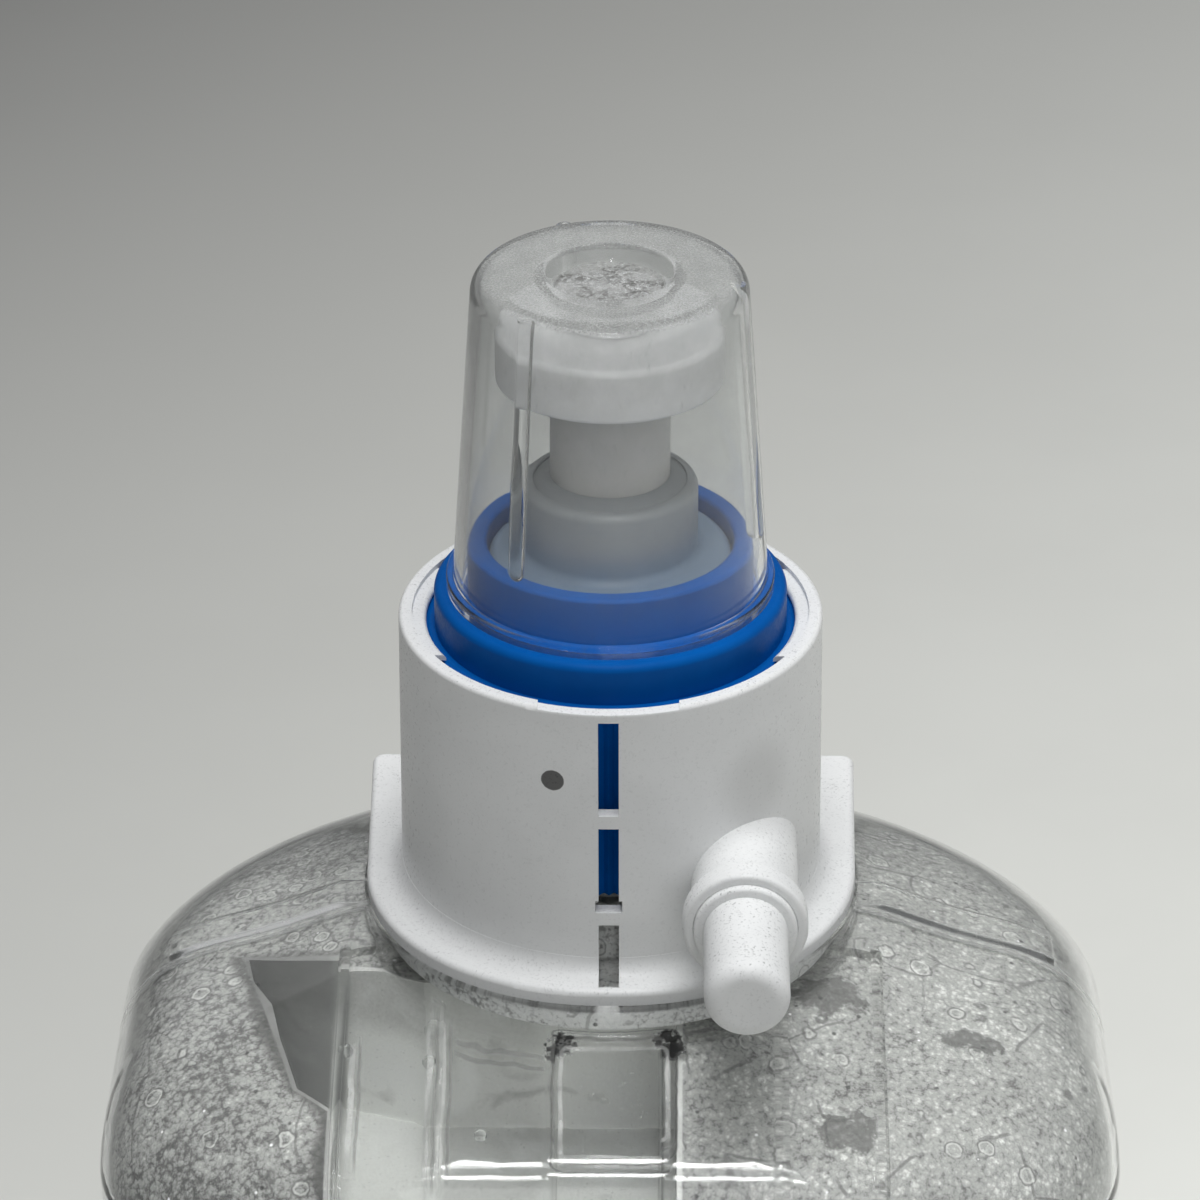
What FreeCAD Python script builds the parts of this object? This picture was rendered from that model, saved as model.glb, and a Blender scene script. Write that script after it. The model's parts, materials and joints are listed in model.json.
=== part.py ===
# Pump refill bottle: a clear bottle of gel with a keyed collar, a screw closure, a piston pump and a
# dust cap. Lengths are millimetres and angles are degrees. The neck's axis is Z while the pieces are made,
# the front is -Y, and the finished pieces are moved back so that the origin is the middle of the base.
import FreeCAD, Part
import math
import os

from FreeCAD import Vector

# Bottle body
BODY_WIDTH = 124.0
BODY_DEPTH = 86.0
BODY_CORNER = 26.0
BODY_WALL = 1.0
BASE_ROUNDING = 5.0
PUSH_UP_DEPTH = 2.5
PUSH_UP_MARGIN = 14.0
PUSH_UP_CORNER = 12.0
NECK_SETBACK = 6.5

# Shoulders and the round plinth that carries the collar
PLINTH_TOP = 140.0
PLINTH_HEIGHT = 3.5
PLINTH_MARGIN = 1.1
SIDE_SLOPE = 18.5
SIDE_SHOULDER_RADIUS = 16.0
FRONT_SLOPE = 27.0
FRONT_SHOULDER_RADIUS = 9.0
BACK_SLOPE = 35.0
BACK_SHOULDER_RADIUS = 5.0
SHOULDER_SECTIONS = 9

# Moulded panels on the front shoulder and the rib over each side shoulder
PANEL_DEPTH = 1.5
PANEL_BOTTOM = 121.0
PANEL_BACK = 10.0
PANEL_CORNER = 3.0
CENTRE_PAD_HALF = 7.3
PANEL_RIB_MIDDLE = 20.5
PANEL_RIB_WIDTH = 1.6
PANEL_OUTER = 31.7
SIDE_RIB_PROUD = 0.8
SIDE_RIB_FRONT = 1.2
SIDE_RIB_BACK = 4.2
SIDE_RIB_REACH = 55.0

# Neck
NECK_RADIUS = 19.2
NECK_WALL = 2.2
NECK_HEIGHT = 36.1
THREAD_BEAD = 1.3
THREAD_PROUD = 1.5
THREAD_PITCH = 5.0
THREAD_TURNS = 1.5
THREAD_START = 12.0
THREAD_CLEARANCE = 0.4
SUPPORT_PROUD = 2.6
SUPPORT_THICKNESS = 1.8
SUPPORT_TEETH = 48
SUPPORT_TOOTH_DEPTH = 0.6

# Gel, and the clear stretch between its foam on the front shoulder
GEL_GAP = 0.3
CLEAR_FLOOR = 112.0
CLEAR_RIGHT = 8.1
CLEAR_BACK = ((-22.4, -14.6), (-33.2, -10.7), (-44.6, -5.1))
CLEAR_LEFT = ((-43.6, -10.4), (-41.0, -15.8), (-39.6, -22.6), (-37.0, -31.8), (-32.5, -36.2))

# Screw closure
CLOSURE_WALL = 1.6
LIP_FIT = 0.3
DECK_THICKNESS = 1.8
TIER_HEIGHT = 5.15
TIER_ROUNDING = 1.0
SKIRT_LENGTH = 25.0
SKIRT_ROUNDING = 0.6
KNURLS = 120
KNURL_DEPTH = 0.6
KNURL_DROP = 0.2
RING_HEIGHT = 6.5
RING_WALL = 2.3
RING_ROUNDING = 0.5

# Stack on the bottle's lip
GASKET_THICKNESS = 1.2
CYLINDER_FLANGE = 1.2
TOWER_FLANGE = 1.1
FLANGE_FIT = 0.2

# Pump tower
TOWER_RADIUS = 10.4
TOWER_WALL = 1.3
TOWER_HEIGHT = 14.1
TOWER_ROUNDING = 1.1
TOWER_DECK_DROP = 1.5
TOWER_DECK_THICKNESS = 2.0
WIPER_HEIGHT = 3.0
WIPER_SHELF = 0.8
WIPER_DROP = 0.3
WIPER_RISE = 0.8

# Pump cylinder, piston and return spring
BARREL_BORE = 12.6
BARREL_WALL = 1.6
BARREL_FLOOR = 1.6
PISTON_HEIGHT = 7.5
PISTON_TOP_GAP = 0.4
PISTON_GROOVE = 3.4
SEAL_WIDTH = 2.4
SPRING_SPACE = 22.0
SPRING_WIRE = 0.6
SPRING_RADIUS = 9.4
SPRING_TURNS = 6
SPRING_END_GAP = 0.2
SLIDE_FIT = 0.05

# Inlet valve
VALVE_RADIUS = 6.6
VALVE_THICKNESS = 1.0
VALVE_DOME = 0.9
VALVE_STEM = 1.4
VALVE_BULB = 2.1
VALVE_FIT = 0.1
INLET_HOLES = 6
INLET_HOLE = 1.1
INLET_CIRCLE = 4.2

# Stem and drive flange
STEM_RADIUS = 7.1
STEM_BORE = 2.0
HEAD_BORE = 4.2
HEAD_DEPTH = 11.0
DRIVE_RADIUS = 13.4
DRIVE_HEIGHT = 6.6
DRIVE_WALL = 1.5
DRIVE_ROUNDING = 0.8
DRIVE_LIP_ROUNDING = 0.5
DRIVE_GAP = 13.4
HUB_WALL = 1.6
PRESS_FIT = 0.02

# Outlet valve and nozzle
BALL_RADIUS = 2.5
BALL_SEAT_GAP = 0.03
BALL_SPRING_WIRE = 0.25
BALL_SPRING_RADIUS = 1.7
BALL_SPRING_TURNS = 3
BALL_SPRING_GAP = 0.1
NOZZLE_WALL = 1.2
NOZZLE_DEPTH = 4.2
NOZZLE_PROUD = 0.6
OUTLET_RADIUS = 1.6

# Dust cap
CAP_WALL = 1.2
CAP_DRAFT = 4.0
CAP_CLEARANCE = 0.3
CAP_TOP_ROUNDING = 2.6
CAP_SEAT_GAP = 0.05
CAP_LIP_SETBACK = 1.5
CAP_LIP_WIDTH = 0.8
CAP_LIP_HEIGHT = 1.5
DIMPLE_RADIUS = 7.6
DIMPLE_DEPTH = 2.0
DIMPLE_ROUNDING = 1.0
NOZZLE_ROOM = 2.7
STOP_RIBS = 3
STOP_RIB_RADIUS = 1.05
STOP_RIB_ANGLE = -128.6
STOP_RIB_LIFT = 1.8

# Collar
COLLAR_CLEARANCE = 1.1
COLLAR_WALL = 1.6
COLLAR_DRAFT = 0.3
COLLAR_RIM_ROUNDING = 0.6
PLATE_MARGIN = 3.9
PLATE_THICKNESS = 2.0
PLATE_ROUNDING = 0.8
PLATE_BACK = 26.4
PLATE_SPREAD = 1.4
PLATE_CORNER = 1.6
COVE_RADIUS = 2.4
LUG_THICKNESS = 1.3
LUG_GAP = 0.15
LUG_HOLD = 0.6
LUG_HALF_LENGTH = 10.8
LUG_ROUNDING = 0.5
NOTCH_HALF = 8.2
NOTCH_DEPTH = 0.35
SLIT_WIDTH = 2.4
SLIT_TOP = 1.4
FIRST_BRIDGE = 13.9
SECOND_BRIDGE = 27.1
BRIDGE_HEIGHT = 1.7
SLIT_REACH = 28.4
FLARE_WIDTH = 3.2
FLARE_HEIGHT = 1.6

# Side boss and key plug
BOSS_OFFSET = 16.0
BOSS_DROP = 24.6
BOSS_WALL = 1.35
BOSS_END = 33.0
BOSS_BORE_DEPTH = 9.4
BOSS_RING_WIDTH = 1.0
BOSS_RING_LENGTH = 3.4
BOSS_RING_ROUNDING = 0.6
COUNTERBORE_DEPTH = 1.5
PEG_RADIUS = 4.95
PEG_LENGTH = 15.0
PEG_ROUNDING = 1.9
PEG_HOLLOW = 3.2
PEG_END_WALL = 2.6
PLUG_FIT = 0.05
PLUG_FLANGE_WIDTH = 1.15
PLUG_FLANGE_PROUD = 0.9
PLUG_SHANK_GAP = 0.4

# Radii that follow from the neck outwards
NECK_BORE = NECK_RADIUS - NECK_WALL
TIER_BORE = NECK_RADIUS + LIP_FIT
TIER_RADIUS = TIER_BORE + CLOSURE_WALL
SKIRT_BORE = NECK_RADIUS + THREAD_PROUD + THREAD_CLEARANCE
SKIRT_RADIUS = SKIRT_BORE + CLOSURE_WALL
COLLAR_BORE = SKIRT_RADIUS + COLLAR_CLEARANCE
COLLAR_RADIUS = COLLAR_BORE + COLLAR_WALL
PLATE_RADIUS = COLLAR_RADIUS + PLATE_MARGIN
PLINTH_RADIUS = PLATE_RADIUS + PLINTH_MARGIN
STACK_RADIUS = TIER_BORE - FLANGE_FIT
CAP_LIP_RADIUS = TIER_RADIUS - CAP_LIP_SETBACK
CAP_FOOT_RADIUS = CAP_LIP_RADIUS - CAP_LIP_WIDTH

# Heights that follow from the plinth upwards
PLINTH_FOOT = PLINTH_TOP - PLINTH_HEIGHT
NECK_TOP = PLINTH_TOP + NECK_HEIGHT
CYLINDER_SEAT = NECK_TOP + GASKET_THICKNESS
TOWER_SEAT = CYLINDER_SEAT + CYLINDER_FLANGE
DECK_UNDERSIDE = TOWER_SEAT + TOWER_FLANGE
LEDGE = DECK_UNDERSIDE + DECK_THICKNESS
RING_TOP = LEDGE + RING_HEIGHT
SKIRT_TOP = LEDGE - TIER_HEIGHT
SKIRT_BOTTOM = SKIRT_TOP - SKIRT_LENGTH
RIM = SKIRT_TOP + LUG_GAP + LUG_THICKNESS
PLATE_TOP = PLINTH_TOP + PLATE_THICKNESS
TOWER_TOP = LEDGE + TOWER_HEIGHT
TOWER_DECK = RING_TOP - TOWER_DECK_DROP
DRIVE_BOTTOM = TOWER_TOP + DRIVE_GAP
DRIVE_TOP = DRIVE_BOTTOM + DRIVE_HEIGHT
STEM_TOP = DRIVE_TOP - DRIVE_WALL
BALL_SEAT = STEM_TOP - HEAD_DEPTH
NOZZLE_TOP = DRIVE_TOP + NOZZLE_PROUD
NOZZLE_BOTTOM = STEM_TOP - NOZZLE_DEPTH
CAP_BOTTOM = LEDGE + CAP_SEAT_GAP
CAP_FOOT = CAP_BOTTOM + CAP_LIP_HEIGHT
CAP_TOP = NOZZLE_TOP + NOZZLE_ROOM + CAP_WALL + DIMPLE_DEPTH
PISTON_TOP = TOWER_SEAT - PISTON_TOP_GAP
PISTON_BOTTOM = PISTON_TOP - PISTON_HEIGHT
FLOOR_TOP = PISTON_BOTTOM - SPRING_SPACE
FLOOR_BOTTOM = FLOOR_TOP - BARREL_FLOOR
BOSS_HEIGHT = RIM - BOSS_DROP
FRONT_WALL = BODY_DEPTH / 2 + NECK_SETBACK
BACK_WALL = BODY_DEPTH / 2 - NECK_SETBACK

OVERRUN = 5.0  # how far a cutting tool runs past the face that it cuts
SMALL = 1e-3  # lengths below this count as nothing


def cap_radius(height):
    """Outer radius of the dust cap's wall at a height."""
    return CAP_FOOT_RADIUS - (height - CAP_FOOT) * math.tan(math.radians(CAP_DRAFT))


RING_RADIUS = cap_radius(RING_TOP) - CAP_WALL - CAP_CLEARANCE
RING_BORE = RING_RADIUS - RING_WALL


def outline(corners, place):
    """Closed wire through corners (u, v) or (u, v, radius), where the radius rounds that corner."""
    points = [Vector(corner[0], corner[1], 0) for corner in corners]
    stops = []
    for i, corner in enumerate(corners):
        if len(corner) == 2:
            stops.append([points[i]])
            continue
        radius = corner[2]
        back = (points[i - 1] - points[i]).normalize()
        ahead = (points[(i + 1) % len(points)] - points[i]).normalize()
        half = back.getAngle(ahead) / 2
        inward = (back + ahead).normalize()
        reach = radius / math.tan(half)
        middle = points[i] + inward * (radius / math.sin(half) - radius)
        stops.append([points[i] + back * reach, middle, points[i] + ahead * reach])
    edges = []
    for i, stop in enumerate(stops):
        if len(stop) == 3:
            edges.append(Part.Arc(*[place(point) for point in stop]).toShape())
        following = stops[(i + 1) % len(stops)][0]
        if stop[-1].distanceToPoint(following) > SMALL:
            edges.append(Part.LineSegment(place(stop[-1]), place(following)).toShape())
    return Part.Wire(edges)


def upright(point):
    """Place an outline's point in the plane of X and Z."""
    return Vector(point.x, 0, point.y)


def level(height):
    """Placing function for an outline that lies flat at a height."""
    return lambda point: Vector(point.x, point.y, height)


def spun(corners):
    """Solid of revolution about Z from corners (radius, height) or (radius, height, rounding)."""
    return Part.Face(outline(corners, upright)).revolve(Vector(), Vector(0, 0, 1), 360)


def cylinder(radius, bottom, top):
    """Upright cylinder on the neck's axis."""
    return Part.makeCylinder(radius, top - bottom, Vector(0, 0, bottom))


def block(low, high):
    """Box between two opposite corners."""
    size = Vector(*high) - Vector(*low)
    return Part.makeBox(size.x, size.y, size.z, Vector(*low))


def toothed(radius, depth, teeth, bottom, top):
    """Disc with V-shaped teeth round its edge."""
    points = []
    for i in range(2 * teeth):
        angle = math.pi * i / teeth
        reach = radius - depth * (i % 2)
        points.append(Vector(reach * math.cos(angle), reach * math.sin(angle), bottom))
    return Part.Face(Part.makePolygon(points + points[:1])).extrude(Vector(0, 0, top - bottom))


def tangent_arc(start, corner, end):
    """Arc that leaves start towards corner and reaches end along the line from corner."""
    half = (start - corner).getAngle(end - corner) / 2
    run = start.distanceToPoint(corner)
    inward = ((start + end) * 0.5 - corner).normalize()
    middle = corner + inward * (run / math.cos(half) - run * math.tan(half))
    return Part.Arc(start, middle, end).toShape()


def coil(radius, wire, pitch, turns, bottom):
    """Round wire wound on a helix of tangent arcs, and the points at its quarter turns."""
    steps = round(4 * turns)
    points = []
    tangents = []
    for i in range(steps + 1):
        angle = math.pi / 2 * i
        points.append(Vector(radius * math.cos(angle), radius * math.sin(angle), bottom + pitch * i / 4))
        tangents.append(Vector(-math.sin(angle), math.cos(angle), pitch / (2 * math.pi * radius)).normalize())
    edges = []
    for i in range(steps):
        chord = points[i + 1] - points[i]
        lean = chord.dot(tangents[i] + tangents[i + 1])
        turn = 2 * (1 - tangents[i].dot(tangents[i + 1]))
        run = (math.sqrt(lean ** 2 + turn * chord.dot(chord)) - lean) / turn
        first = points[i] + tangents[i] * run
        second = points[i + 1] - tangents[i + 1] * run
        middle = (first + second) * 0.5
        edges.append(tangent_arc(points[i], first, middle))
        edges.append(tangent_arc(middle, second, points[i + 1]))
    section_wire = Part.Wire(Part.makeCircle(wire, points[0], tangents[0]))
    return Part.Wire(edges).makePipeShell([section_wire], True, False), points


def spring(name, radius, wire, turns, bottom, top):
    """Coil spring whose wire fills the height from bottom to top; prints its least gap to itself."""
    pitch = (top - bottom - 2 * wire) / turns
    solid, points = coil(radius, wire, pitch, turns, bottom + wire)
    gaps = []
    for i, point in enumerate(points):
        gaps += [point.distanceToPoint(other) - 2 * wire for other in points[i + 2:i + 7]]
    print(f"{name}: least gap between turns {min(gaps):.2f} mm")
    return solid


def shoulder_reach(height, inset, wall, slope, rounding):
    """Distance from the neck's axis to a wall whose sloped shoulder is rounded, all moved in by inset."""
    angle = math.radians(slope)
    corner = PLINTH_FOOT - (wall - PLINTH_RADIUS) * math.tan(angle)
    tangent = rounding * math.tan((math.pi / 2 - angle) / 2)
    centre = corner - tangent
    if height <= centre:
        return wall - inset
    if height <= centre + (rounding - inset) * math.cos(angle):
        return wall - rounding + math.sqrt((rounding - inset) ** 2 - (height - centre) ** 2)
    return PLINTH_RADIUS + (PLINTH_FOOT - height) / math.tan(angle) - inset / math.sin(angle)


def shoulder_start():
    """Height at which the side shoulders begin to round inwards."""
    angle = math.radians(SIDE_SLOPE)
    corner = PLINTH_FOOT - (BODY_WIDTH / 2 - PLINTH_RADIUS) * math.tan(angle)
    return corner - SIDE_SHOULDER_RADIUS * math.tan((math.pi / 2 - angle) / 2)


def body_section(height, inset):
    """Rounded rectangle of the bottle's body at a height."""
    half = shoulder_reach(height, inset, BODY_WIDTH / 2, SIDE_SLOPE, SIDE_SHOULDER_RADIUS)
    front = shoulder_reach(height, inset, FRONT_WALL, FRONT_SLOPE, FRONT_SHOULDER_RADIUS)
    back = shoulder_reach(height, inset, BACK_WALL, BACK_SLOPE, BACK_SHOULDER_RADIUS)
    narrowest = min(half, (front + back) / 2)
    share = max(0.0, (height - shoulder_start()) / (PLINTH_FOOT - shoulder_start()))
    corner = (BODY_CORNER - inset) * (1 - share) + narrowest * share
    corner = min(corner, 0.96 * narrowest)
    corners = [(-half, -front, corner), (half, -front, corner), (half, back, corner), (-half, back, corner)]
    return outline(corners, level(height))


def push_up(inset):
    """Block under the bottle's floor that raises its middle."""
    margin = PUSH_UP_MARGIN - inset
    half = BODY_WIDTH / 2 - margin
    front = margin - FRONT_WALL
    back = BACK_WALL - margin
    corner = PUSH_UP_CORNER + inset
    corners = [(-half, front, corner), (half, front, corner), (half, back, corner), (-half, back, corner)]
    return Part.Face(outline(corners, level(-OVERRUN))).extrude(Vector(0, 0, OVERRUN + PUSH_UP_DEPTH + inset))


def panel_blocks(inset):
    """Blocks over the front shoulder's sunk panels, on both sides of the middle pad."""
    spans = [
        (CENTRE_PAD_HALF, PANEL_RIB_MIDDLE - PANEL_RIB_WIDTH / 2),
        (PANEL_RIB_MIDDLE + PANEL_RIB_WIDTH / 2, PANEL_OUTER),
    ]
    blocks = []
    for near, far in spans:
        for side in (-1, 1):
            edges = sorted((side * (near - inset), side * (far + inset)))
            low = (edges[0], -FRONT_WALL - OVERRUN, PANEL_BOTTOM - inset)
            high = (edges[1], -PANEL_BACK + inset, PLINTH_FOOT + OVERRUN)
            solid = block(low, high)
            corners = [edge for edge in solid.Edges if edge.BoundBox.ZMax < PANEL_BOTTOM + SMALL
                       and edge.BoundBox.YLength > PANEL_BACK]
            blocks.append(solid.makeFillet(PANEL_CORNER + inset, corners))
    return Part.makeCompound(blocks)


def plain_form(inset):
    """Body and shoulders without panels, with every face moved in by inset."""
    start = shoulder_start()
    top = PLINTH_FOOT - inset
    body = Part.Face(body_section(start, inset)).extrude(Vector(0, 0, inset - start))
    floor_edges = [edge for edge in body.Edges if edge.BoundBox.ZMax < inset + SMALL]
    body = body.makeFillet(BASE_ROUNDING - inset / 2, floor_edges)
    heights = [start + (top - start) * i / (SHOULDER_SECTIONS - 1) for i in range(SHOULDER_SECTIONS)]
    shoulder = Part.makeLoft([body_section(height, inset) for height in heights], True, False)
    return body.fuse(shoulder)


def body_form(inset):
    """Body and shoulders with the sunk panels and the raised floor, moved in by inset."""
    sunk = panel_blocks(inset).cut(plain_form(inset + PANEL_DEPTH))
    return plain_form(inset).cut([sunk, push_up(inset)])


def side_ribs():
    """Low rib that runs over each side shoulder from the plinth outwards."""
    low = (-SIDE_RIB_REACH, -SIDE_RIB_FRONT, shoulder_start())
    high = (SIDE_RIB_REACH, SIDE_RIB_BACK, PLINTH_FOOT)
    return plain_form(-SIDE_RIB_PROUD).common(block(low, high))


def make_bottle():
    """Blown bottle: body, plinth, threaded neck and the toothed ring under the closure."""
    thread, _ = coil(NECK_RADIUS + THREAD_PROUD - THREAD_BEAD, THREAD_BEAD, THREAD_PITCH, THREAD_TURNS,
                     NECK_TOP - THREAD_START)
    support_top = SKIRT_BOTTOM - LUG_GAP
    support = toothed(NECK_RADIUS + SUPPORT_PROUD, SUPPORT_TOOTH_DEPTH, SUPPORT_TEETH,
                      support_top - SUPPORT_THICKNESS, support_top)
    plinth = cylinder(PLINTH_RADIUS, PLINTH_FOOT - PLINTH_HEIGHT, PLINTH_TOP)
    neck = cylinder(NECK_RADIUS, PLINTH_FOOT, NECK_TOP)
    outside = body_form(0).fuse([side_ribs(), plinth, neck, support, thread])
    hollow = cylinder(PLINTH_RADIUS - BODY_WALL, PLINTH_FOOT - PLINTH_HEIGHT, PLINTH_TOP - BODY_WALL)
    bore = cylinder(NECK_BORE, PLINTH_FOOT - PLINTH_HEIGHT, NECK_TOP + OVERRUN)
    return outside.cut(body_form(BODY_WALL).fuse([hollow, bore]))


def clear_column(gap):
    """Upright column over the clear stretch, with a gap left all round it."""
    corners = [(CLEAR_RIGHT, -BODY_DEPTH), (CLEAR_RIGHT, CLEAR_BACK[0][1]), *CLEAR_BACK, *CLEAR_LEFT,
               (CLEAR_LEFT[-1][0], -BODY_DEPTH)]
    face = Part.Face(outline(corners, level(CLEAR_FLOOR + gap)))
    if gap:
        face = face.makeOffset2D(-gap)
    return face.extrude(Vector(0, 0, PLINTH_TOP - CLEAR_FLOOR))


def make_gel_fill():
    """Foamy gel up to the foot of the plinth, round the clear stretch."""
    return body_form(BODY_WALL + GEL_GAP).cut(clear_column(0))


def make_clear_gel():
    """Gel with no foam in it, on the front shoulder."""
    return body_form(BODY_WALL + GEL_GAP).common(clear_column(GEL_GAP))


def make_neck_gasket():
    """Flat ring on the bottle's lip."""
    return cylinder(STACK_RADIUS, NECK_TOP, CYLINDER_SEAT).cut(cylinder(NECK_BORE, NECK_TOP, CYLINDER_SEAT))


def make_closure():
    """Screw closure: knurled skirt, plain upper tier, deck and the ring that the dust cap goes over."""
    step = SKIRT_TOP - CLOSURE_WALL
    upper = spun([
        (RING_BORE, DECK_UNDERSIDE),
        (TIER_BORE, DECK_UNDERSIDE),
        (TIER_BORE, step),
        (SKIRT_BORE, step),
        (SKIRT_RADIUS - KNURL_DEPTH, step),
        (SKIRT_RADIUS - KNURL_DEPTH, SKIRT_TOP, SKIRT_ROUNDING),
        (TIER_RADIUS, SKIRT_TOP),
        (TIER_RADIUS, LEDGE, TIER_ROUNDING),
        (RING_RADIUS, LEDGE),
        (RING_RADIUS, RING_TOP, RING_ROUNDING),
        (RING_BORE, RING_TOP, RING_ROUNDING),
    ])
    skirt = toothed(SKIRT_RADIUS, KNURL_DEPTH, KNURLS, SKIRT_BOTTOM, SKIRT_TOP - KNURL_DROP)
    skirt = skirt.cut(cylinder(SKIRT_BORE, SKIRT_BOTTOM, step))
    thread, _ = coil(SKIRT_BORE, THREAD_BEAD - THREAD_CLEARANCE, THREAD_PITCH, THREAD_TURNS,
                     NECK_TOP - THREAD_START - THREAD_PITCH / 2)
    bore = cylinder(TIER_BORE, step - OVERRUN, DECK_UNDERSIDE)
    return upper.fuse([skirt.cut(bore), thread])


def make_pump_cylinder():
    """Cylinder that hangs in the neck, with inlet holes and the valve's hole in its floor."""
    outer = BARREL_BORE + BARREL_WALL
    body = spun([
        (0, FLOOR_BOTTOM),
        (outer, FLOOR_BOTTOM, BARREL_WALL / 2),
        (outer, CYLINDER_SEAT),
        (STACK_RADIUS, CYLINDER_SEAT),
        (STACK_RADIUS, TOWER_SEAT),
        (BARREL_BORE, TOWER_SEAT),
        (BARREL_BORE, FLOOR_TOP),
        (0, FLOOR_TOP),
    ])
    holes = [cylinder(VALVE_STEM + VALVE_FIT, FLOOR_BOTTOM, FLOOR_TOP)]
    for i in range(INLET_HOLES):
        hole = cylinder(INLET_HOLE, FLOOR_BOTTOM, FLOOR_TOP).translated(Vector(INLET_CIRCLE, 0, 0))
        hole.rotate(Vector(), Vector(0, 0, 1), 360 * i / INLET_HOLES)
        holes.append(hole)
    return body.cut(holes)


def make_inlet_valve():
    """Rubber umbrella over the inlet holes, held by its bulb under the floor."""
    bulb_top = FLOOR_BOTTOM - VALVE_FIT
    seat = FLOOR_TOP + VALVE_FIT
    return spun([
        (0, bulb_top - 2 * VALVE_BULB),
        (VALVE_STEM, bulb_top - 2 * VALVE_BULB),
        (VALVE_BULB, bulb_top),
        (VALVE_STEM, bulb_top),
        (VALVE_STEM, seat),
        (VALVE_RADIUS, seat),
        (VALVE_RADIUS, seat + VALVE_THICKNESS / 2),
        (VALVE_STEM, seat + VALVE_THICKNESS + VALVE_DOME),
        (0, seat + VALVE_THICKNESS + VALVE_DOME),
    ])


def make_return_spring():
    """Spring between the cylinder's floor and the piston."""
    return spring("return_spring", SPRING_RADIUS, SPRING_WIRE, SPRING_TURNS,
                  FLOOR_TOP + SPRING_END_GAP, PISTON_BOTTOM - SPRING_END_GAP)


def make_pump_tower():
    """Guide that is clamped under the closure's deck and stands up through its ring."""
    neck = RING_BORE - FLANGE_FIT
    bore = TOWER_RADIUS - TOWER_WALL
    wiper_seat = TOWER_TOP - WIPER_HEIGHT
    return spun([
        (STEM_RADIUS + SLIDE_FIT, TOWER_SEAT),
        (STACK_RADIUS, TOWER_SEAT),
        (STACK_RADIUS, DECK_UNDERSIDE),
        (neck, DECK_UNDERSIDE),
        (neck, TOWER_DECK, TOWER_ROUNDING),
        (TOWER_RADIUS, TOWER_DECK, TOWER_ROUNDING),
        (TOWER_RADIUS, TOWER_TOP, TOWER_ROUNDING),
        (bore, TOWER_TOP),
        (bore, wiper_seat),
        (bore - WIPER_SHELF, wiper_seat),
        (bore - WIPER_SHELF, TOWER_SEAT + TOWER_DECK_THICKNESS),
        (STEM_RADIUS + SLIDE_FIT, TOWER_SEAT + TOWER_DECK_THICKNESS),
    ])


def make_stem_wiper():
    """Lip seal in the tower's mouth, close round the stem."""
    bottom = TOWER_TOP - WIPER_HEIGHT
    lip = STEM_RADIUS + SLIDE_FIT
    outer = TOWER_RADIUS - TOWER_WALL
    return spun([
        (lip, bottom),
        (outer, bottom),
        (outer, TOWER_TOP - WIPER_DROP),
        (lip, TOWER_TOP + WIPER_RISE),
    ])


def make_piston_stem():
    """Hollow stem with the piston at its foot and the outlet valve's bore in its head."""
    piston = BARREL_BORE - SEAL_WIDTH / 2
    groove = BARREL_BORE - SEAL_WIDTH
    middle = (PISTON_TOP + PISTON_BOTTOM) / 2
    return spun([
        (STEM_BORE, PISTON_BOTTOM),
        (piston, PISTON_BOTTOM),
        (piston, middle - PISTON_GROOVE / 2),
        (groove, middle - PISTON_GROOVE / 2),
        (groove, middle + PISTON_GROOVE / 2),
        (piston, middle + PISTON_GROOVE / 2),
        (piston, PISTON_TOP),
        (STEM_RADIUS, PISTON_TOP),
        (STEM_RADIUS, STEM_TOP),
        (HEAD_BORE, STEM_TOP),
        (HEAD_BORE, BALL_SEAT),
        (STEM_BORE, BALL_SEAT),
    ])


def make_piston_seal():
    """Cup seal in the piston's groove, with its lips on the cylinder's bore."""
    root = BARREL_BORE - SEAL_WIDTH + PRESS_FIT
    lip = BARREL_BORE - SLIDE_FIT
    waist = BARREL_BORE - SEAL_WIDTH / 2
    middle = (PISTON_TOP + PISTON_BOTTOM) / 2
    half = PISTON_GROOVE / 2
    return spun([
        (root, middle - half),
        (waist, middle - half),
        (lip, middle - half),
        (lip, middle - half / 2),
        (waist, middle),
        (lip, middle + half / 2),
        (lip, middle + half),
        (root, middle + half),
    ])


def make_drive_flange():
    """Cupped flange pressed over the stem's head."""
    hub_bore = STEM_RADIUS + PRESS_FIT
    hub = hub_bore + HUB_WALL
    return spun([
        (HEAD_BORE, STEM_TOP),
        (hub_bore, STEM_TOP),
        (hub_bore, DRIVE_BOTTOM),
        (hub, DRIVE_BOTTOM),
        (hub, STEM_TOP),
        (DRIVE_RADIUS - DRIVE_WALL, STEM_TOP),
        (DRIVE_RADIUS - DRIVE_WALL, DRIVE_BOTTOM),
        (DRIVE_RADIUS, DRIVE_BOTTOM, DRIVE_LIP_ROUNDING),
        (DRIVE_RADIUS, DRIVE_TOP, DRIVE_ROUNDING),
        (HEAD_BORE, DRIVE_TOP),
    ])


def ball_centre():
    """Height of the closed ball's centre above its seat's edge."""
    return BALL_SEAT + math.sqrt(BALL_RADIUS ** 2 - STEM_BORE ** 2) + BALL_SEAT_GAP


def make_outlet_ball():
    """Check ball on the stem bore's edge."""
    return Part.makeSphere(BALL_RADIUS, Vector(0, 0, ball_centre()))


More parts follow.
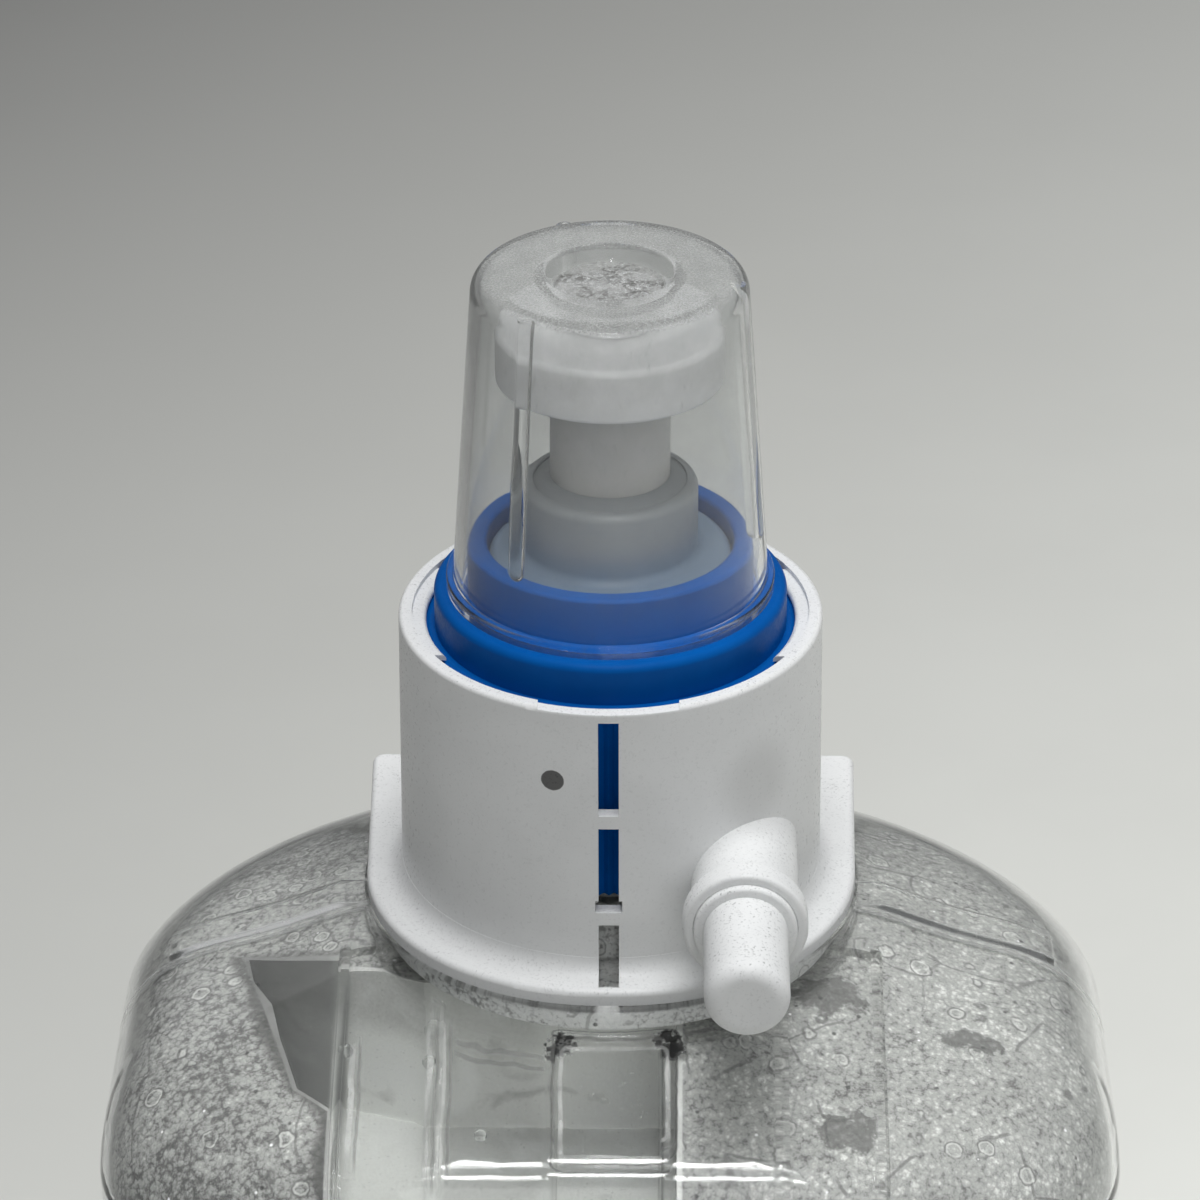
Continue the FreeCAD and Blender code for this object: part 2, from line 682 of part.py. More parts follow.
def make_outlet_spring():
    """Spring between the ball and the nozzle."""
    reach = BALL_SPRING_RADIUS + BALL_SPRING_WIRE
    contact = math.sqrt(BALL_RADIUS ** 2 - (BALL_SPRING_RADIUS - BALL_SPRING_WIRE) ** 2)
    print(f"outlet_spring: clear of its bore by {HEAD_BORE - reach:.2f} mm")
    return spring("outlet_spring", BALL_SPRING_RADIUS, BALL_SPRING_WIRE, BALL_SPRING_TURNS,
                  ball_centre() + contact + BALL_SPRING_GAP, NOZZLE_BOTTOM + NOZZLE_WALL - BALL_SPRING_GAP)


def make_nozzle_tip():
    """Insert that closes the stem's head over the ball and its spring, with the outlet in its middle."""
    outer = HEAD_BORE - PRESS_FIT
    return spun([
        (BALL_RADIUS, NOZZLE_BOTTOM),
        (outer, NOZZLE_BOTTOM),
        (outer, NOZZLE_TOP, NOZZLE_PROUD / 2),
        (OUTLET_RADIUS, NOZZLE_TOP, NOZZLE_PROUD / 2),
        (OUTLET_RADIUS, NOZZLE_BOTTOM + NOZZLE_WALL),
        (BALL_RADIUS, NOZZLE_BOTTOM + NOZZLE_WALL),
    ])


def make_dust_cap():
    """Clear cap with a dished top, a seating lip and ribs inside that stop it over the closure's ring."""
    top = cap_radius(CAP_TOP)
    ceiling = CAP_TOP - CAP_WALL
    floor = CAP_TOP - DIMPLE_DEPTH
    cap = spun([
        (0, floor - CAP_WALL),
        (DIMPLE_RADIUS, floor - CAP_WALL, DIMPLE_ROUNDING),
        (DIMPLE_RADIUS + CAP_WALL, ceiling),
        (top - CAP_WALL, ceiling, CAP_TOP_ROUNDING - CAP_WALL),
        (CAP_FOOT_RADIUS - CAP_WALL, CAP_FOOT),
        (CAP_FOOT_RADIUS - CAP_WALL, CAP_BOTTOM),
        (CAP_LIP_RADIUS, CAP_BOTTOM),
        (CAP_LIP_RADIUS, CAP_FOOT, CAP_LIP_WIDTH / 2),
        (CAP_FOOT_RADIUS, CAP_FOOT),
        (top, CAP_TOP, CAP_TOP_ROUNDING),
        (DIMPLE_RADIUS, CAP_TOP, DIMPLE_ROUNDING / 2),
        (DIMPLE_RADIUS - CAP_WALL, floor, DIMPLE_ROUNDING),
        (0, floor),
    ])
    return cap.fuse(stop_ribs())


def stop_ribs():
    """Round ribs down the inside of the cap's wall."""
    foot = RING_TOP + STOP_RIB_LIFT
    lean = Vector(-math.tan(math.radians(CAP_DRAFT)), 0, 1)
    inner = cap_radius(foot) - CAP_WALL
    length = (CAP_TOP - CAP_WALL / 2 - foot) / math.cos(math.radians(CAP_DRAFT))
    start = Vector(inner, 0, foot)
    ribs = []
    for i in range(STOP_RIBS):
        rod = Part.makeCylinder(STOP_RIB_RADIUS, length, start, lean)
        rib = rod.fuse(Part.makeSphere(STOP_RIB_RADIUS, start))
        rib.rotate(Vector(), Vector(0, 0, 1), STOP_RIB_ANGLE + 360 * i / STOP_RIBS)
        ribs.append(rib)
    return ribs


def collar_plate():
    """Outline of the U-shaped plate: a round front and sides that spread a little towards the back."""
    back = PLATE_RADIUS + PLATE_SPREAD
    front_rounding = 0.985 * PLATE_RADIUS
    return [
        (-PLATE_RADIUS, -PLATE_RADIUS, front_rounding),
        (PLATE_RADIUS, -PLATE_RADIUS, front_rounding),
        (back, PLATE_BACK, PLATE_CORNER),
        (-back, PLATE_BACK, PLATE_CORNER),
    ]


def slit(width, top, bottom, reach):
    """Cutting block for one window of the collar's front slit."""
    return block((-width / 2, -reach, bottom), (width / 2, -COLLAR_BORE / 2, top))


def make_collar():
    """Collar: tube, U-shaped plate, side boss, snap lugs, rim notch and the windows of the front slit."""
    foot = COLLAR_RADIUS + COLLAR_DRAFT
    tube = spun([
        (0, PLINTH_TOP),
        (foot, PLINTH_TOP),
        (COLLAR_RADIUS, RIM, COLLAR_RIM_ROUNDING),
        (0, RIM),
    ])
    plate = Part.Face(outline(collar_plate(), level(PLINTH_TOP))).extrude(Vector(0, 0, PLATE_THICKNESS))
    plate_column = Part.Face(outline(collar_plate(), level(PLATE_TOP))).extrude(Vector(0, 0, COVE_RADIUS))
    top_edges = [edge for edge in plate.Edges if edge.BoundBox.ZMin > PLATE_TOP - SMALL]
    plate = plate.makeFillet(PLATE_ROUNDING, top_edges)
    cove = spun([
        (0, PLATE_TOP),
        (foot + COVE_RADIUS, PLATE_TOP),
        (foot, PLATE_TOP, 0.98 * COVE_RADIUS),
        (foot, PLATE_TOP + COVE_RADIUS),
        (0, PLATE_TOP + COVE_RADIUS),
    ]).common(plate_column)
    boss_axis = Vector(BOSS_OFFSET, 0, BOSS_HEIGHT)
    forward = Vector(0, -1, 0)
    boss_bore = PEG_RADIUS + PLUG_FIT
    boss_radius = boss_bore + BOSS_WALL
    boss = Part.makeCylinder(boss_radius, BOSS_END, boss_axis, forward)
    ring_start = boss_axis + forward * (BOSS_END - BOSS_RING_LENGTH)
    ring = Part.makeCylinder(boss_radius + BOSS_RING_WIDTH, BOSS_RING_LENGTH, ring_start, forward)
    ring = ring.makeFillet(BOSS_RING_ROUNDING, [edge for edge in ring.Edges if edge.Closed])
    drill_start = boss_axis + forward * (BOSS_END - BOSS_BORE_DEPTH)
    drill = Part.makeCylinder(boss_bore, BOSS_BORE_DEPTH + OVERRUN, drill_start, forward)
    sink_start = boss_axis + forward * (BOSS_END - COUNTERBORE_DEPTH)
    sink = Part.makeCylinder(boss_bore + PLUG_FLANGE_WIDTH, COUNTERBORE_DEPTH + OVERRUN, sink_start, forward)
    lug_bottom = RIM - LUG_THICKNESS
    lugs = spun([
        (SKIRT_RADIUS - LUG_HOLD, lug_bottom),
        (COLLAR_BORE + COLLAR_WALL / 2, lug_bottom),
        (COLLAR_BORE + COLLAR_WALL / 2, RIM - COLLAR_RIM_ROUNDING),
        (SKIRT_RADIUS - LUG_HOLD, RIM - COLLAR_RIM_ROUNDING, LUG_ROUNDING),
    ]).common(block((-COLLAR_RADIUS, -LUG_HALF_LENGTH, lug_bottom), (COLLAR_RADIUS, LUG_HALF_LENGTH, RIM)))
    bore = cylinder(COLLAR_BORE, PLINTH_TOP - OVERRUN, RIM + OVERRUN)
    notch = block((-NOTCH_HALF, -COLLAR_RADIUS - OVERRUN, RIM - NOTCH_DEPTH), (NOTCH_HALF, 0, RIM + OVERRUN))
    flare_bottom = RIM - SECOND_BRIDGE
    windows = [
        slit(SLIT_WIDTH, RIM - SLIT_TOP, RIM - FIRST_BRIDGE, PLATE_RADIUS),
        slit(SLIT_WIDTH, RIM - FIRST_BRIDGE - BRIDGE_HEIGHT, RIM - SECOND_BRIDGE, PLATE_RADIUS),
        slit(FLARE_WIDTH, flare_bottom + FLARE_HEIGHT, flare_bottom, PLATE_RADIUS),
        slit(SLIT_WIDTH, RIM - SECOND_BRIDGE - BRIDGE_HEIGHT, PLINTH_TOP - OVERRUN, SLIT_REACH),
    ]
    shell = tube.fuse([plate, cove, boss, ring])
    return shell.cut([bore, drill, sink, notch] + windows).fuse(lugs)


def make_key_plug():
    """Hollow peg whose shank sits in the side boss and whose flange fills the boss's mouth."""
    shank = PEG_RADIUS
    flange = PEG_RADIUS + PLUG_FLANGE_WIDTH
    tip = BOSS_END + PLUG_FLANGE_PROUD + PEG_LENGTH
    back = BOSS_END - BOSS_BORE_DEPTH + PLUG_SHANK_GAP
    seat = BOSS_END - COUNTERBORE_DEPTH
    plug = spun([
        (PEG_HOLLOW, back),
        (shank, back),
        (shank, seat),
        (flange, seat),
        (flange, BOSS_END + PLUG_FLANGE_PROUD, PLUG_FLANGE_PROUD / 2),
        (PEG_RADIUS, BOSS_END + PLUG_FLANGE_PROUD),
        (PEG_RADIUS, tip, PEG_ROUNDING),
        (0, tip),
        (0, tip - PEG_END_WALL),
        (PEG_HOLLOW, tip - PEG_END_WALL),
    ])
    plug.rotate(Vector(), Vector(1, 0, 0), 90)
    return plug.translated(Vector(BOSS_OFFSET, 0, BOSS_HEIGHT))


PIECES = {
    "bottle": make_bottle,
    "gel_fill": make_gel_fill,
    "clear_gel": make_clear_gel,
    "neck_gasket": make_neck_gasket,
    "closure": make_closure,
    "pump_cylinder": make_pump_cylinder,
    "inlet_valve": make_inlet_valve,
    "return_spring": make_return_spring,
    "pump_tower": make_pump_tower,
    "stem_wiper": make_stem_wiper,
    "piston_stem": make_piston_stem,
    "piston_seal": make_piston_seal,
    "drive_flange": make_drive_flange,
    "outlet_ball": make_outlet_ball,
    "outlet_spring": make_outlet_spring,
    "nozzle_tip": make_nozzle_tip,
    "dust_cap": make_dust_cap,
    "collar": make_collar,
    "key_plug": make_key_plug,
}

os.makedirs("parts", exist_ok=True)
for node, make in PIECES.items():
    shape = make().translated(Vector(0, NECK_SETBACK, 0))
    shape.exportStep(f"parts/{node}.step")
    box = shape.BoundBox
    print(f"{node}: solids {len(shape.Solids)}, valid {shape.isValid()}, "
          f"volume {shape.Volume / 1000:.2f} cm3, z {box.ZMin:.2f} to {box.ZMax:.2f}")
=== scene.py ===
"""Looks of a pump refill bottle: clear bottle, foamy gel, keyed collar, blue closure, pump and dust cap."""

import json
import logging
import math
import random
from dataclasses import dataclass
from enum import Enum
from typing import Any, Protocol

import bmesh
import bpy
from mathutils import Matrix, Vector

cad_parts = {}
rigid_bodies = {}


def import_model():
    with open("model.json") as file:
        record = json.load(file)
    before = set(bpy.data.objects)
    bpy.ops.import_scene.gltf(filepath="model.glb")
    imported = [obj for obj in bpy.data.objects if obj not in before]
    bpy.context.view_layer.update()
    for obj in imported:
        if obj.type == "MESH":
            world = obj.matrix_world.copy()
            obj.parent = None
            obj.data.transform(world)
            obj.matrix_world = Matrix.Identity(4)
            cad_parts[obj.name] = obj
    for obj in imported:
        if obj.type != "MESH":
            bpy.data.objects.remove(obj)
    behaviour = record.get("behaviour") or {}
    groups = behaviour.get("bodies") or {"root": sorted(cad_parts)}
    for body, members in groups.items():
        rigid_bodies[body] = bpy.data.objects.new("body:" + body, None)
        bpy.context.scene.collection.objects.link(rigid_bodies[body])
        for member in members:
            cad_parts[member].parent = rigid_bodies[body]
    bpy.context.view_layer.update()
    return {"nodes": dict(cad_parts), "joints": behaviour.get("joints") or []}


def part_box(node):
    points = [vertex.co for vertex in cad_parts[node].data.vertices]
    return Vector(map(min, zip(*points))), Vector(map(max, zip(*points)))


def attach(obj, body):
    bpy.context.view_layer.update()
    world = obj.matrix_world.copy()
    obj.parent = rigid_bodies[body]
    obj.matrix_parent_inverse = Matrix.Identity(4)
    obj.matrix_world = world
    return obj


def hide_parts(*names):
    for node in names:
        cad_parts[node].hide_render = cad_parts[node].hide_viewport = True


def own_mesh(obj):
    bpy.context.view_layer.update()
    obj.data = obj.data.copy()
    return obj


for stray in list(bpy.data.objects):
    bpy.data.objects.remove(stray)
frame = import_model()

MM = 0.001
MERGE = 1e-6
AXIS_Y = 0.0065
RIM = Vector((0.0, AXIS_Y, 0.1777))
log = logging.getLogger("refill")

Number = float | int
Colour = tuple[float, float, float]
Place = tuple[float, float, float]


class Shape(Enum):
    """Edge shapes of a ramp between two values."""

    SOFT = "SMOOTHSTEP"
    STRAIGHT = "LINEAR"


class Wire:
    """One shader socket, which Python's operators join to others through Math nodes."""

    def __init__(self, sheet: "Sheet", socket: bpy.types.NodeSocket) -> None:
        """Hold the socket and the node sheet that it is on."""
        self.sheet = sheet
        self.socket = socket

    def math(self, operation: str, *others: "Wire | Number", first: "Wire | Number | None" = None) -> "Wire":
        """Join this value to others with one Math node.

        Args:
            operation: the Math node's operation.
            others: the values of the node's next inputs.
            first: a value that goes before this one, for reflected operators.

        Returns:
            The node's result.
        """
        values = [self, *others] if first is None else [first, self]
        return self.sheet.node("ShaderNodeMath", {"operation": operation}, dict(enumerate(values)))

    def __add__(self, other: "Wire | Number") -> "Wire":
        """Sum of two values."""
        return self.math("ADD", other)

    __radd__ = __add__

    def __sub__(self, other: "Wire | Number") -> "Wire":
        """This value less another."""
        return self.math("SUBTRACT", other)

    def __rsub__(self, other: Number) -> "Wire":
        """A number less this value."""
        return self.math("SUBTRACT", first=other)

    def __mul__(self, other: "Wire | Number") -> "Wire":
        """Product of two values."""
        return self.math("MULTIPLY", other)

    __rmul__ = __mul__

    def __pow__(self, other: "Wire | Number") -> "Wire":
        """This value to a power."""
        return self.math("POWER", other)

    def __abs__(self) -> "Wire":
        """Size of this value without its sign."""
        return self.math("ABSOLUTE")

    def least(self, other: "Wire | Number") -> "Wire":
        """Lesser of two values."""
        return self.math("MINIMUM", other)

    def most(self, other: "Wire | Number") -> "Wire":
        """Greater of two values."""
        return self.math("MAXIMUM", other)

    def ramp(self, start: Number, end: Number, low: Number = 0.0, high: Number = 1.0,
             shape: Shape = Shape.SOFT) -> "Wire":
        """Carry this value from one range to another, held at both ends.

        Args:
            start: value that gives low.
            end: value that gives high.
            low: result at start.
            high: result at end.
            shape: how the result moves between them.

        Returns:
            The result.
        """
        settings = {"interpolation_type": shape.value}
        return self.sheet.node("ShaderNodeMapRange", settings, {0: self, 1: start, 2: end, 3: low, 4: high})


class Sheet:
    """Node sheet of one material, with the few moves that the finishes share."""

    def __init__(self, name: str) -> None:
        """Start an empty material.

        Args:
            name: the material's name.
        """
        self.material = bpy.data.materials.new(name)
        self.material.use_nodes = True
        self.tree = self.material.node_tree
        self.tree.nodes.clear()
        self.output = self.tree.nodes.new("ShaderNodeOutputMaterial")

    def node(self, kind: str, settings: dict[str, Any] | None = None, inputs: dict[Any, Any] | None = None,
             result: str | int = 0) -> Wire:
        """Add a node, set it up and fill its inputs.

        Args:
            kind: Blender's name for the node.
            settings: the node's own settings; stops holds a ramp's positions and colours.
            inputs: values or wires by socket name or number.
            result: name or number of the output that is wanted.

        Returns:
            The wanted output.
        """
        made = self.tree.nodes.new(kind)
        for key, value in (settings or {}).items():
            if key == "stops":
                ramp = made.color_ramp
                while len(ramp.elements) < len(value):
                    ramp.elements.new(0.5)
                for element, (place, colour) in zip(ramp.elements, value):
                    element.position = place
                    element.color = (*colour, 1.0)
            else:
                setattr(made, key, value)
        for key, value in (inputs or {}).items():
            socket = made.inputs[key]
            if isinstance(value, Wire):
                self.tree.links.new(value.socket, socket)
            elif isinstance(value, tuple) and len(value) == 3 and socket.type == "RGBA":
                socket.default_value = (*value, 1.0)
            else:
                socket.default_value = value
        return Wire(self, made.outputs[result])

    def place(self) -> Wire:
        """Object coordinates, in metres."""
        return self.node("ShaderNodeTexCoord", result="Object")

    def split(self, vector: Wire) -> tuple[Wire, Wire, Wire]:
        """X, Y and Z of a vector."""
        x = self.node("ShaderNodeSeparateXYZ", inputs={0: vector})
        outputs = x.socket.node.outputs
        return x, Wire(self, outputs[1]), Wire(self, outputs[2])

    def millimetres(self) -> tuple[Wire, Wire, Wire]:
        """X, Y and Z of the object coordinates, in millimetres."""
        scaled = self.node("ShaderNodeVectorMath", {"operation": "SCALE"}, {0: self.place(), "Scale": 1 / MM})
        return self.split(scaled)

    def facing(self) -> tuple[Wire, Wire, Wire]:
        """X, Y and Z of the object's own normal."""
        return self.split(self.node("ShaderNodeTexCoord", result="Normal"))

    def spot(self, centre: Place, radii: Place, soft: float = 0.2, ragged: "Wire | Number" = 0.0) -> Wire:
        """Round mark, one inside and nothing outside.

        Args:
            centre: its middle, in millimetres.
            radii: its radii on the three axes, in millimetres.
            soft: width of its soft edge, as a share of its radii.
            ragged: a value that pushes the edge in and out.

        Returns:
            The mask.
        """
        moved = self.node("ShaderNodeVectorMath", {"operation": "SUBTRACT"},
                          {0: self.place(), 1: tuple(part * MM for part in centre)})
        scaled = self.node("ShaderNodeVectorMath", {"operation": "DIVIDE"},
                           {0: moved, 1: tuple(part * MM for part in radii)})
        away = self.node("ShaderNodeVectorMath", {"operation": "LENGTH"}, {0: scaled}, result="Value")
        return (away + ragged).ramp(1 + soft, 1 - soft)

    def bent(self, reach: float, size: float) -> Wire:
        """Object coordinates pushed about by noise; reach and size of its lumps are in metres."""
        inputs = {"Vector": self.place(), "Scale": 1 / size, "Detail": 2.0}
        push = self.node("ShaderNodeTexNoise", inputs=inputs, result="Color")
        push = self.node("ShaderNodeVectorMath", {"operation": "SUBTRACT"}, {0: push, 1: (0.5, 0.5, 0.5)})
        push = self.node("ShaderNodeVectorMath", {"operation": "SCALE"}, {0: push, "Scale": 2 * reach})
        return self.node("ShaderNodeVectorMath", {"operation": "ADD"}, {0: self.place(), 1: push})

    def noise(self, size: float, detail: float = 3.0, rough: float = 0.55, warp: float = 0.0,
              stretch: Place = (1.0, 1.0, 1.0)) -> Wire:
        """Cloudy noise whose lumps have a real size.

        Args:
            size: width of a lump, in metres.
            detail: finer layers on top.
            rough: strength of the finer layers.
            warp: how far the noise bends itself.
            stretch: factor on each axis before the lumps are laid out.

        Returns:
            Values from 0 to 1.
        """
        spread = self.node("ShaderNodeVectorMath", {"operation": "MULTIPLY"}, {0: self.place(), 1: stretch})
        inputs = {"Vector": spread, "Scale": 1 / size, "Detail": detail, "Roughness": rough,
                  "Distortion": warp}
        return self.node("ShaderNodeTexNoise", inputs=inputs)

    def cells(self, size: float, feature: str = "F1", result: str = "Distance",
              vector: Wire | None = None) -> Wire:
        """Cell pattern whose cells have a real size.

        Args:
            size: width of a cell, in metres.
            feature: which of the pattern's values is wanted.
            result: the node's output.
            vector: coordinates, if not the object's own.

        Returns:
            The pattern's value.
        """
        inputs = {"Vector": vector or self.place(), "Scale": 1 / size}
        return self.node("ShaderNodeTexVoronoi", {"feature": feature}, inputs, result)

    def blend(self, share: Wire, low: "Wire | Colour", high: "Wire | Colour") -> Wire:
        """Colour between two colours: low at a share of 0, high at 1."""
        inputs = {0: share, 6: low, 7: high}
        return self.node("ShaderNodeMix", {"data_type": "RGBA"}, inputs, result=2)

    def bump(self, height: Wire, depth: float, strength: float = 1.0, normal: Wire | None = None) -> Wire:
        """Normal tilted by a height.

        Args:
            height: the height, from 0 to 1.
            depth: real depth of that height, in metres.
            strength: share of the tilt.
            normal: the normal that is tilted, if not the mesh's own.

        Returns:
            The normal.
        """
        inputs = {"Height": height, "Distance": depth, "Strength": strength}
        if normal:
            inputs["Normal"] = normal
        return self.node("ShaderNodeBump", inputs=inputs)

    def solid(self, inputs: dict[str, Any]) -> Wire:
        """Principled shader."""
        return self.node("ShaderNodeBsdfPrincipled", inputs=inputs)

    def mix(self, share: "Wire | Number", low: Wire, high: Wire) -> Wire:
        """Two shaders mixed by a share."""
        return self.node("ShaderNodeMixShader", inputs={0: share, 1: low, 2: high})

    def lets_lamps_through(self, shader: Wire, tint: Colour) -> Wire:
        """Clear shader that lamps shine through; tint is what is left of their light."""
        lamp = self.node("ShaderNodeLightPath", result="Is Shadow Ray")
        return self.mix(lamp, shader, self.node("ShaderNodeBsdfTransparent", inputs={"Color": tint}))

    def finish(self, shader: Wire) -> bpy.types.Material:
        """Send a finished shader to the output and hand back the material."""
        self.tree.links.new(shader.socket, self.output.inputs["Surface"])
        return self.material


class Body(Enum):
    """Bodies that the new pieces ride on."""

    BOTTLE = "bottle_body"
    STEM = "pump_stem"


class Finish(Protocol):
    """What every finish can do."""

    def make(self) -> bpy.types.Material:
        """Build the material."""


@dataclass(frozen=True)
class ClearPlastic:
    """Clear moulded plastic with a faint haze and dust.

    The film is what dulls the plastic: haze all over, patches, and grains of dust. The sheen is the share of
    light that the skin mirrors where it faces the eye.
    """

    name: str
    tint: Colour = (0.97, 0.98, 0.98)
    roughness: float = 0.03
    bend: float = 1.45
    haze: float = 0.06
    haze_colour: Colour = (0.5, 0.51, 0.5)
    dust: float = 0.25
    sheen: float = 0.0
    lamp_tint: Colour = (0.99, 0.99, 0.99)

    def film(self, sheet: Sheet) -> Wire:
        """Share of the surface that the haze and the dust cover."""
        specks = sheet.noise(0.35 * MM, detail=2.0).ramp(0.64, 0.74)
        patches = sheet.noise(9 * MM, detail=4.0).ramp(0.4, 0.75)
        return (patches * 0.5 + 0.75) * self.haze + specks * patches * self.dust

    def film_colour(self, sheet: Sheet) -> Wire:
        """Colour of the film, a little uneven."""
        cloud = sheet.noise(3 * MM, detail=4.0).ramp(0.3, 0.7)
        dull = tuple(0.85 * part for part in self.haze_colour)
        return sheet.blend(cloud, dull, self.haze_colour)

    def normal(self, sheet: Sheet) -> Wire | None:
        """Normal of the clear plastic, where it isn't the mesh's own."""
        return None

    def make(self) -> bpy.types.Material:
        """Build the material.

        Returns:
            The material.
        """
        sheet = Sheet(self.name)
        normal = self.normal(sheet)
        tilt = {"Normal": normal} if normal else {}
        clear = sheet.solid({"Base Color": self.tint, "Roughness": self.roughness, "IOR": self.bend,
                             "Transmission Weight": 1.0} | tilt)
        if self.sheen:
            mirror = sheet.solid({"Base Color": (1.0, 1.0, 1.0), "Metallic": 1.0,
                                  "Roughness": self.roughness} | tilt)
            slope = sheet.node("ShaderNodeLayerWeight", inputs={"Blend": 0.5} | tilt, result="Facing")
            clear = sheet.mix(slope ** 5 * (1 - self.sheen) + self.sheen, clear, mirror)
        clear = sheet.lets_lamps_through(clear, self.lamp_tint)
        film = sheet.solid({"Base Color": self.film_colour(sheet), "Roughness": 0.6})
        return sheet.finish(sheet.mix(self.film(sheet), clear, film))


@dataclass(frozen=True)
class BottlePlastic(ClearPlastic):
    """Blown bottle wall: soft edges, a wavy skin, painted highlight and shade lines along the steps of its
    front panels, and painted dark corners on its front pad.

    Places are in millimetres, on the bottle as it stands.
    """

    edge: float = 0.9 * MM
    wave: float = 0.025 * MM
    # painted shade: two dark marks at the front pad's top corners, with their radii and colour
    marks: tuple[Place, ...] = ((-5.6, -23.9, 134.6), (7.0, -23.5, 134.6))
    painted_corner_radii: Place = (1.9, 1.6, 2.2)
    painted_corner_shade: Colour = (0.012, 0.012, 0.012)
    pad_middle: tuple[float, float] = (0.7, 132.2)
    pad_half: tuple[float, float] = (7.3, 9.2)
    pad_corner: float = 1.8
    slope_length: float = 2.2
    ribs: tuple[float, ...] = (-30.6, -21.3, -19.7)
    rib_foot: float = 0.9
    gel_edge: float = 133.5
    gel_edge_ends: tuple[float, float] = (-18.6, -7.2)
    # painted highlight colour of the steps, and painted shade colour at their feet and along the gel's edge
    painted_highlight_colour: Colour = (0.92, 0.93, 0.91)
    painted_foot_shade: Colour = (0.12, 0.12, 0.115)
    side_step: tuple[float, float] = (4.7, 5.9)
    side_step_from: float = 24.0
    side_step_above: float = 111.0

    def pad_edge(self, sheet: Sheet) -> Wire:
        """Distance in millimetres from the round-cornered front pad's outline, negative inside."""
        x, _, z = sheet.millimetres()
        middle_x, middle_z = self.pad_middle
        half_x, half_z = self.pad_half
        across = (abs(x - middle_x) - (half_x - self.pad_corner)).most(0.0)
        along = (abs(z - middle_z) * self.slope_length - (half_z - self.pad_corner)).most(0.0)
        wobble = (sheet.noise(4 * MM, detail=2.0) - 0.5) * 0.7
        return (across ** 2 + along ** 2) ** 0.5 - self.pad_corner + wobble

    def front(self, sheet: Sheet) -> Wire:
        """Share of the sloped front, where the panels are."""
        _, y, z = sheet.millimetres()
        return y.ramp(-17, -20) * z.ramp(125.5, 127.5)

    def rib_lines(self, sheet: Sheet, shift: float, half_width: float, half_core: float) -> Wire:
        """Lines along the panels' ribs.

        Args:
            sheet: the material's sheet.
            shift: how far right of its rib a line lies.
            half_width: half of a line's width.
            half_core: half of the width over which it is at its strongest.

        Returns:
            The mask.
        """
        x, _, _ = sheet.millimetres()
        wobble = (sheet.noise(6 * MM, detail=2.0) - 0.5) * 0.8
        first, *others = (abs(x - place - shift + wobble).ramp(half_width, half_core) for place in self.ribs)
        for other in others:
            first = first.most(other)
        return first

    def painted_highlights(self, sheet: Sheet) -> Wire:
        """Mask of painted highlights on the pad's and ribs' rounded steps, and of a painted reflection in
        clouds on the pad.
        """
        edge = self.pad_edge(sheet)
        ribs = self.rib_lines(sheet, 0.0, 0.5, 0.25) * 0.8
        lines = (edge.ramp(-1.5, -1.15) * edge.ramp(-0.6, -0.95)).most(ribs)
        broken = sheet.noise(5 * MM, detail=3.0).ramp(0.36, 0.62, 0.35, 1.0)
        clouds = edge.ramp(-1.8, -2.8) * sheet.noise(5.5 * MM, detail=3.0).ramp(0.42, 0.6) * 0.9
        return (lines * broken).most(clouds) * self.front(sheet)

    def painted_shade_lines(self, sheet: Sheet) -> Wire:
        """Mask of painted shade at each step's foot and along the gel's edge."""
        x, _, z = sheet.millimetres()
        edge = self.pad_edge(sheet)
        ribs = self.rib_lines(sheet, self.rib_foot, 0.3, 0.1) * 0.7
        lines = (edge.ramp(-0.3, -0.05) * edge.ramp(0.3, 0.05)).most(ribs)
        left, right = self.gel_edge_ends
        sway = (sheet.noise(6 * MM, detail=2.0) - 0.5) * 1.12
        between = x.ramp(left, left + 0.6) * x.ramp(right, right - 0.6)
        level = abs(z - self.gel_edge + sway).ramp(0.22, 0.08) * between
        return lines.most(level * 0.9) * self.front(sheet)

    def painted_dark_corners(self, sheet: Sheet) -> Wire:
        """Share of the wall that the two marks cover: painted shade at the front pad's top corners."""
        ragged = (sheet.noise(0.8 * MM, detail=4.0) - 0.5) * 1.4
        first, second = (sheet.spot(mark, self.painted_corner_radii, 0.15, ragged) for mark in self.marks)
        return first.most(second)

    def film(self, sheet: Sheet) -> Wire:
        """Mask of haze, dust, the marks' painted shade, the panels' painted highlight and shade lines, and
        the dull front step of the side ribs.
        """
        x, y, z = sheet.millimetres()
        near, far = self.side_step
        reach, foot = self.side_step_from, self.side_step_above
        side = (y.ramp(near, near + 0.4) * y.ramp(far, far - 0.4) * abs(x).ramp(reach, reach + 3)
                * z.ramp(foot, foot + 3))
        lines = (self.painted_highlights(sheet) * 0.36).most(self.painted_shade_lines(sheet) * 0.5)
        return super().film(sheet).most(self.painted_dark_corners(sheet) * 0.9).most(side * 0.4).most(lines)

    def film_colour(self, sheet: Sheet) -> Wire:
        """Pale film, with painted highlights on the steps, painted shade at their feet, and painted dark
        shade where the marks are.
        """
        pale = sheet.blend(self.painted_highlights(sheet), super().film_colour(sheet), self.painted_highlight_colour)
        shaded = sheet.blend(self.painted_shade_lines(sheet), pale, self.painted_foot_shade)
        return sheet.blend(self.painted_dark_corners(sheet), shaded, self.painted_corner_shade)

    def normal(self, sheet: Sheet) -> Wire:
        """Normal with rounded edges and the slow waves of blown plastic."""
        rounded = sheet.node("ShaderNodeBevel", {"samples": 8}, {"Radius": self.edge})
        waves = sheet.noise(11 * MM, detail=1.5, rough=0.4, warp=0.6)
        return sheet.bump(waves, self.wave, 1.0, rounded)


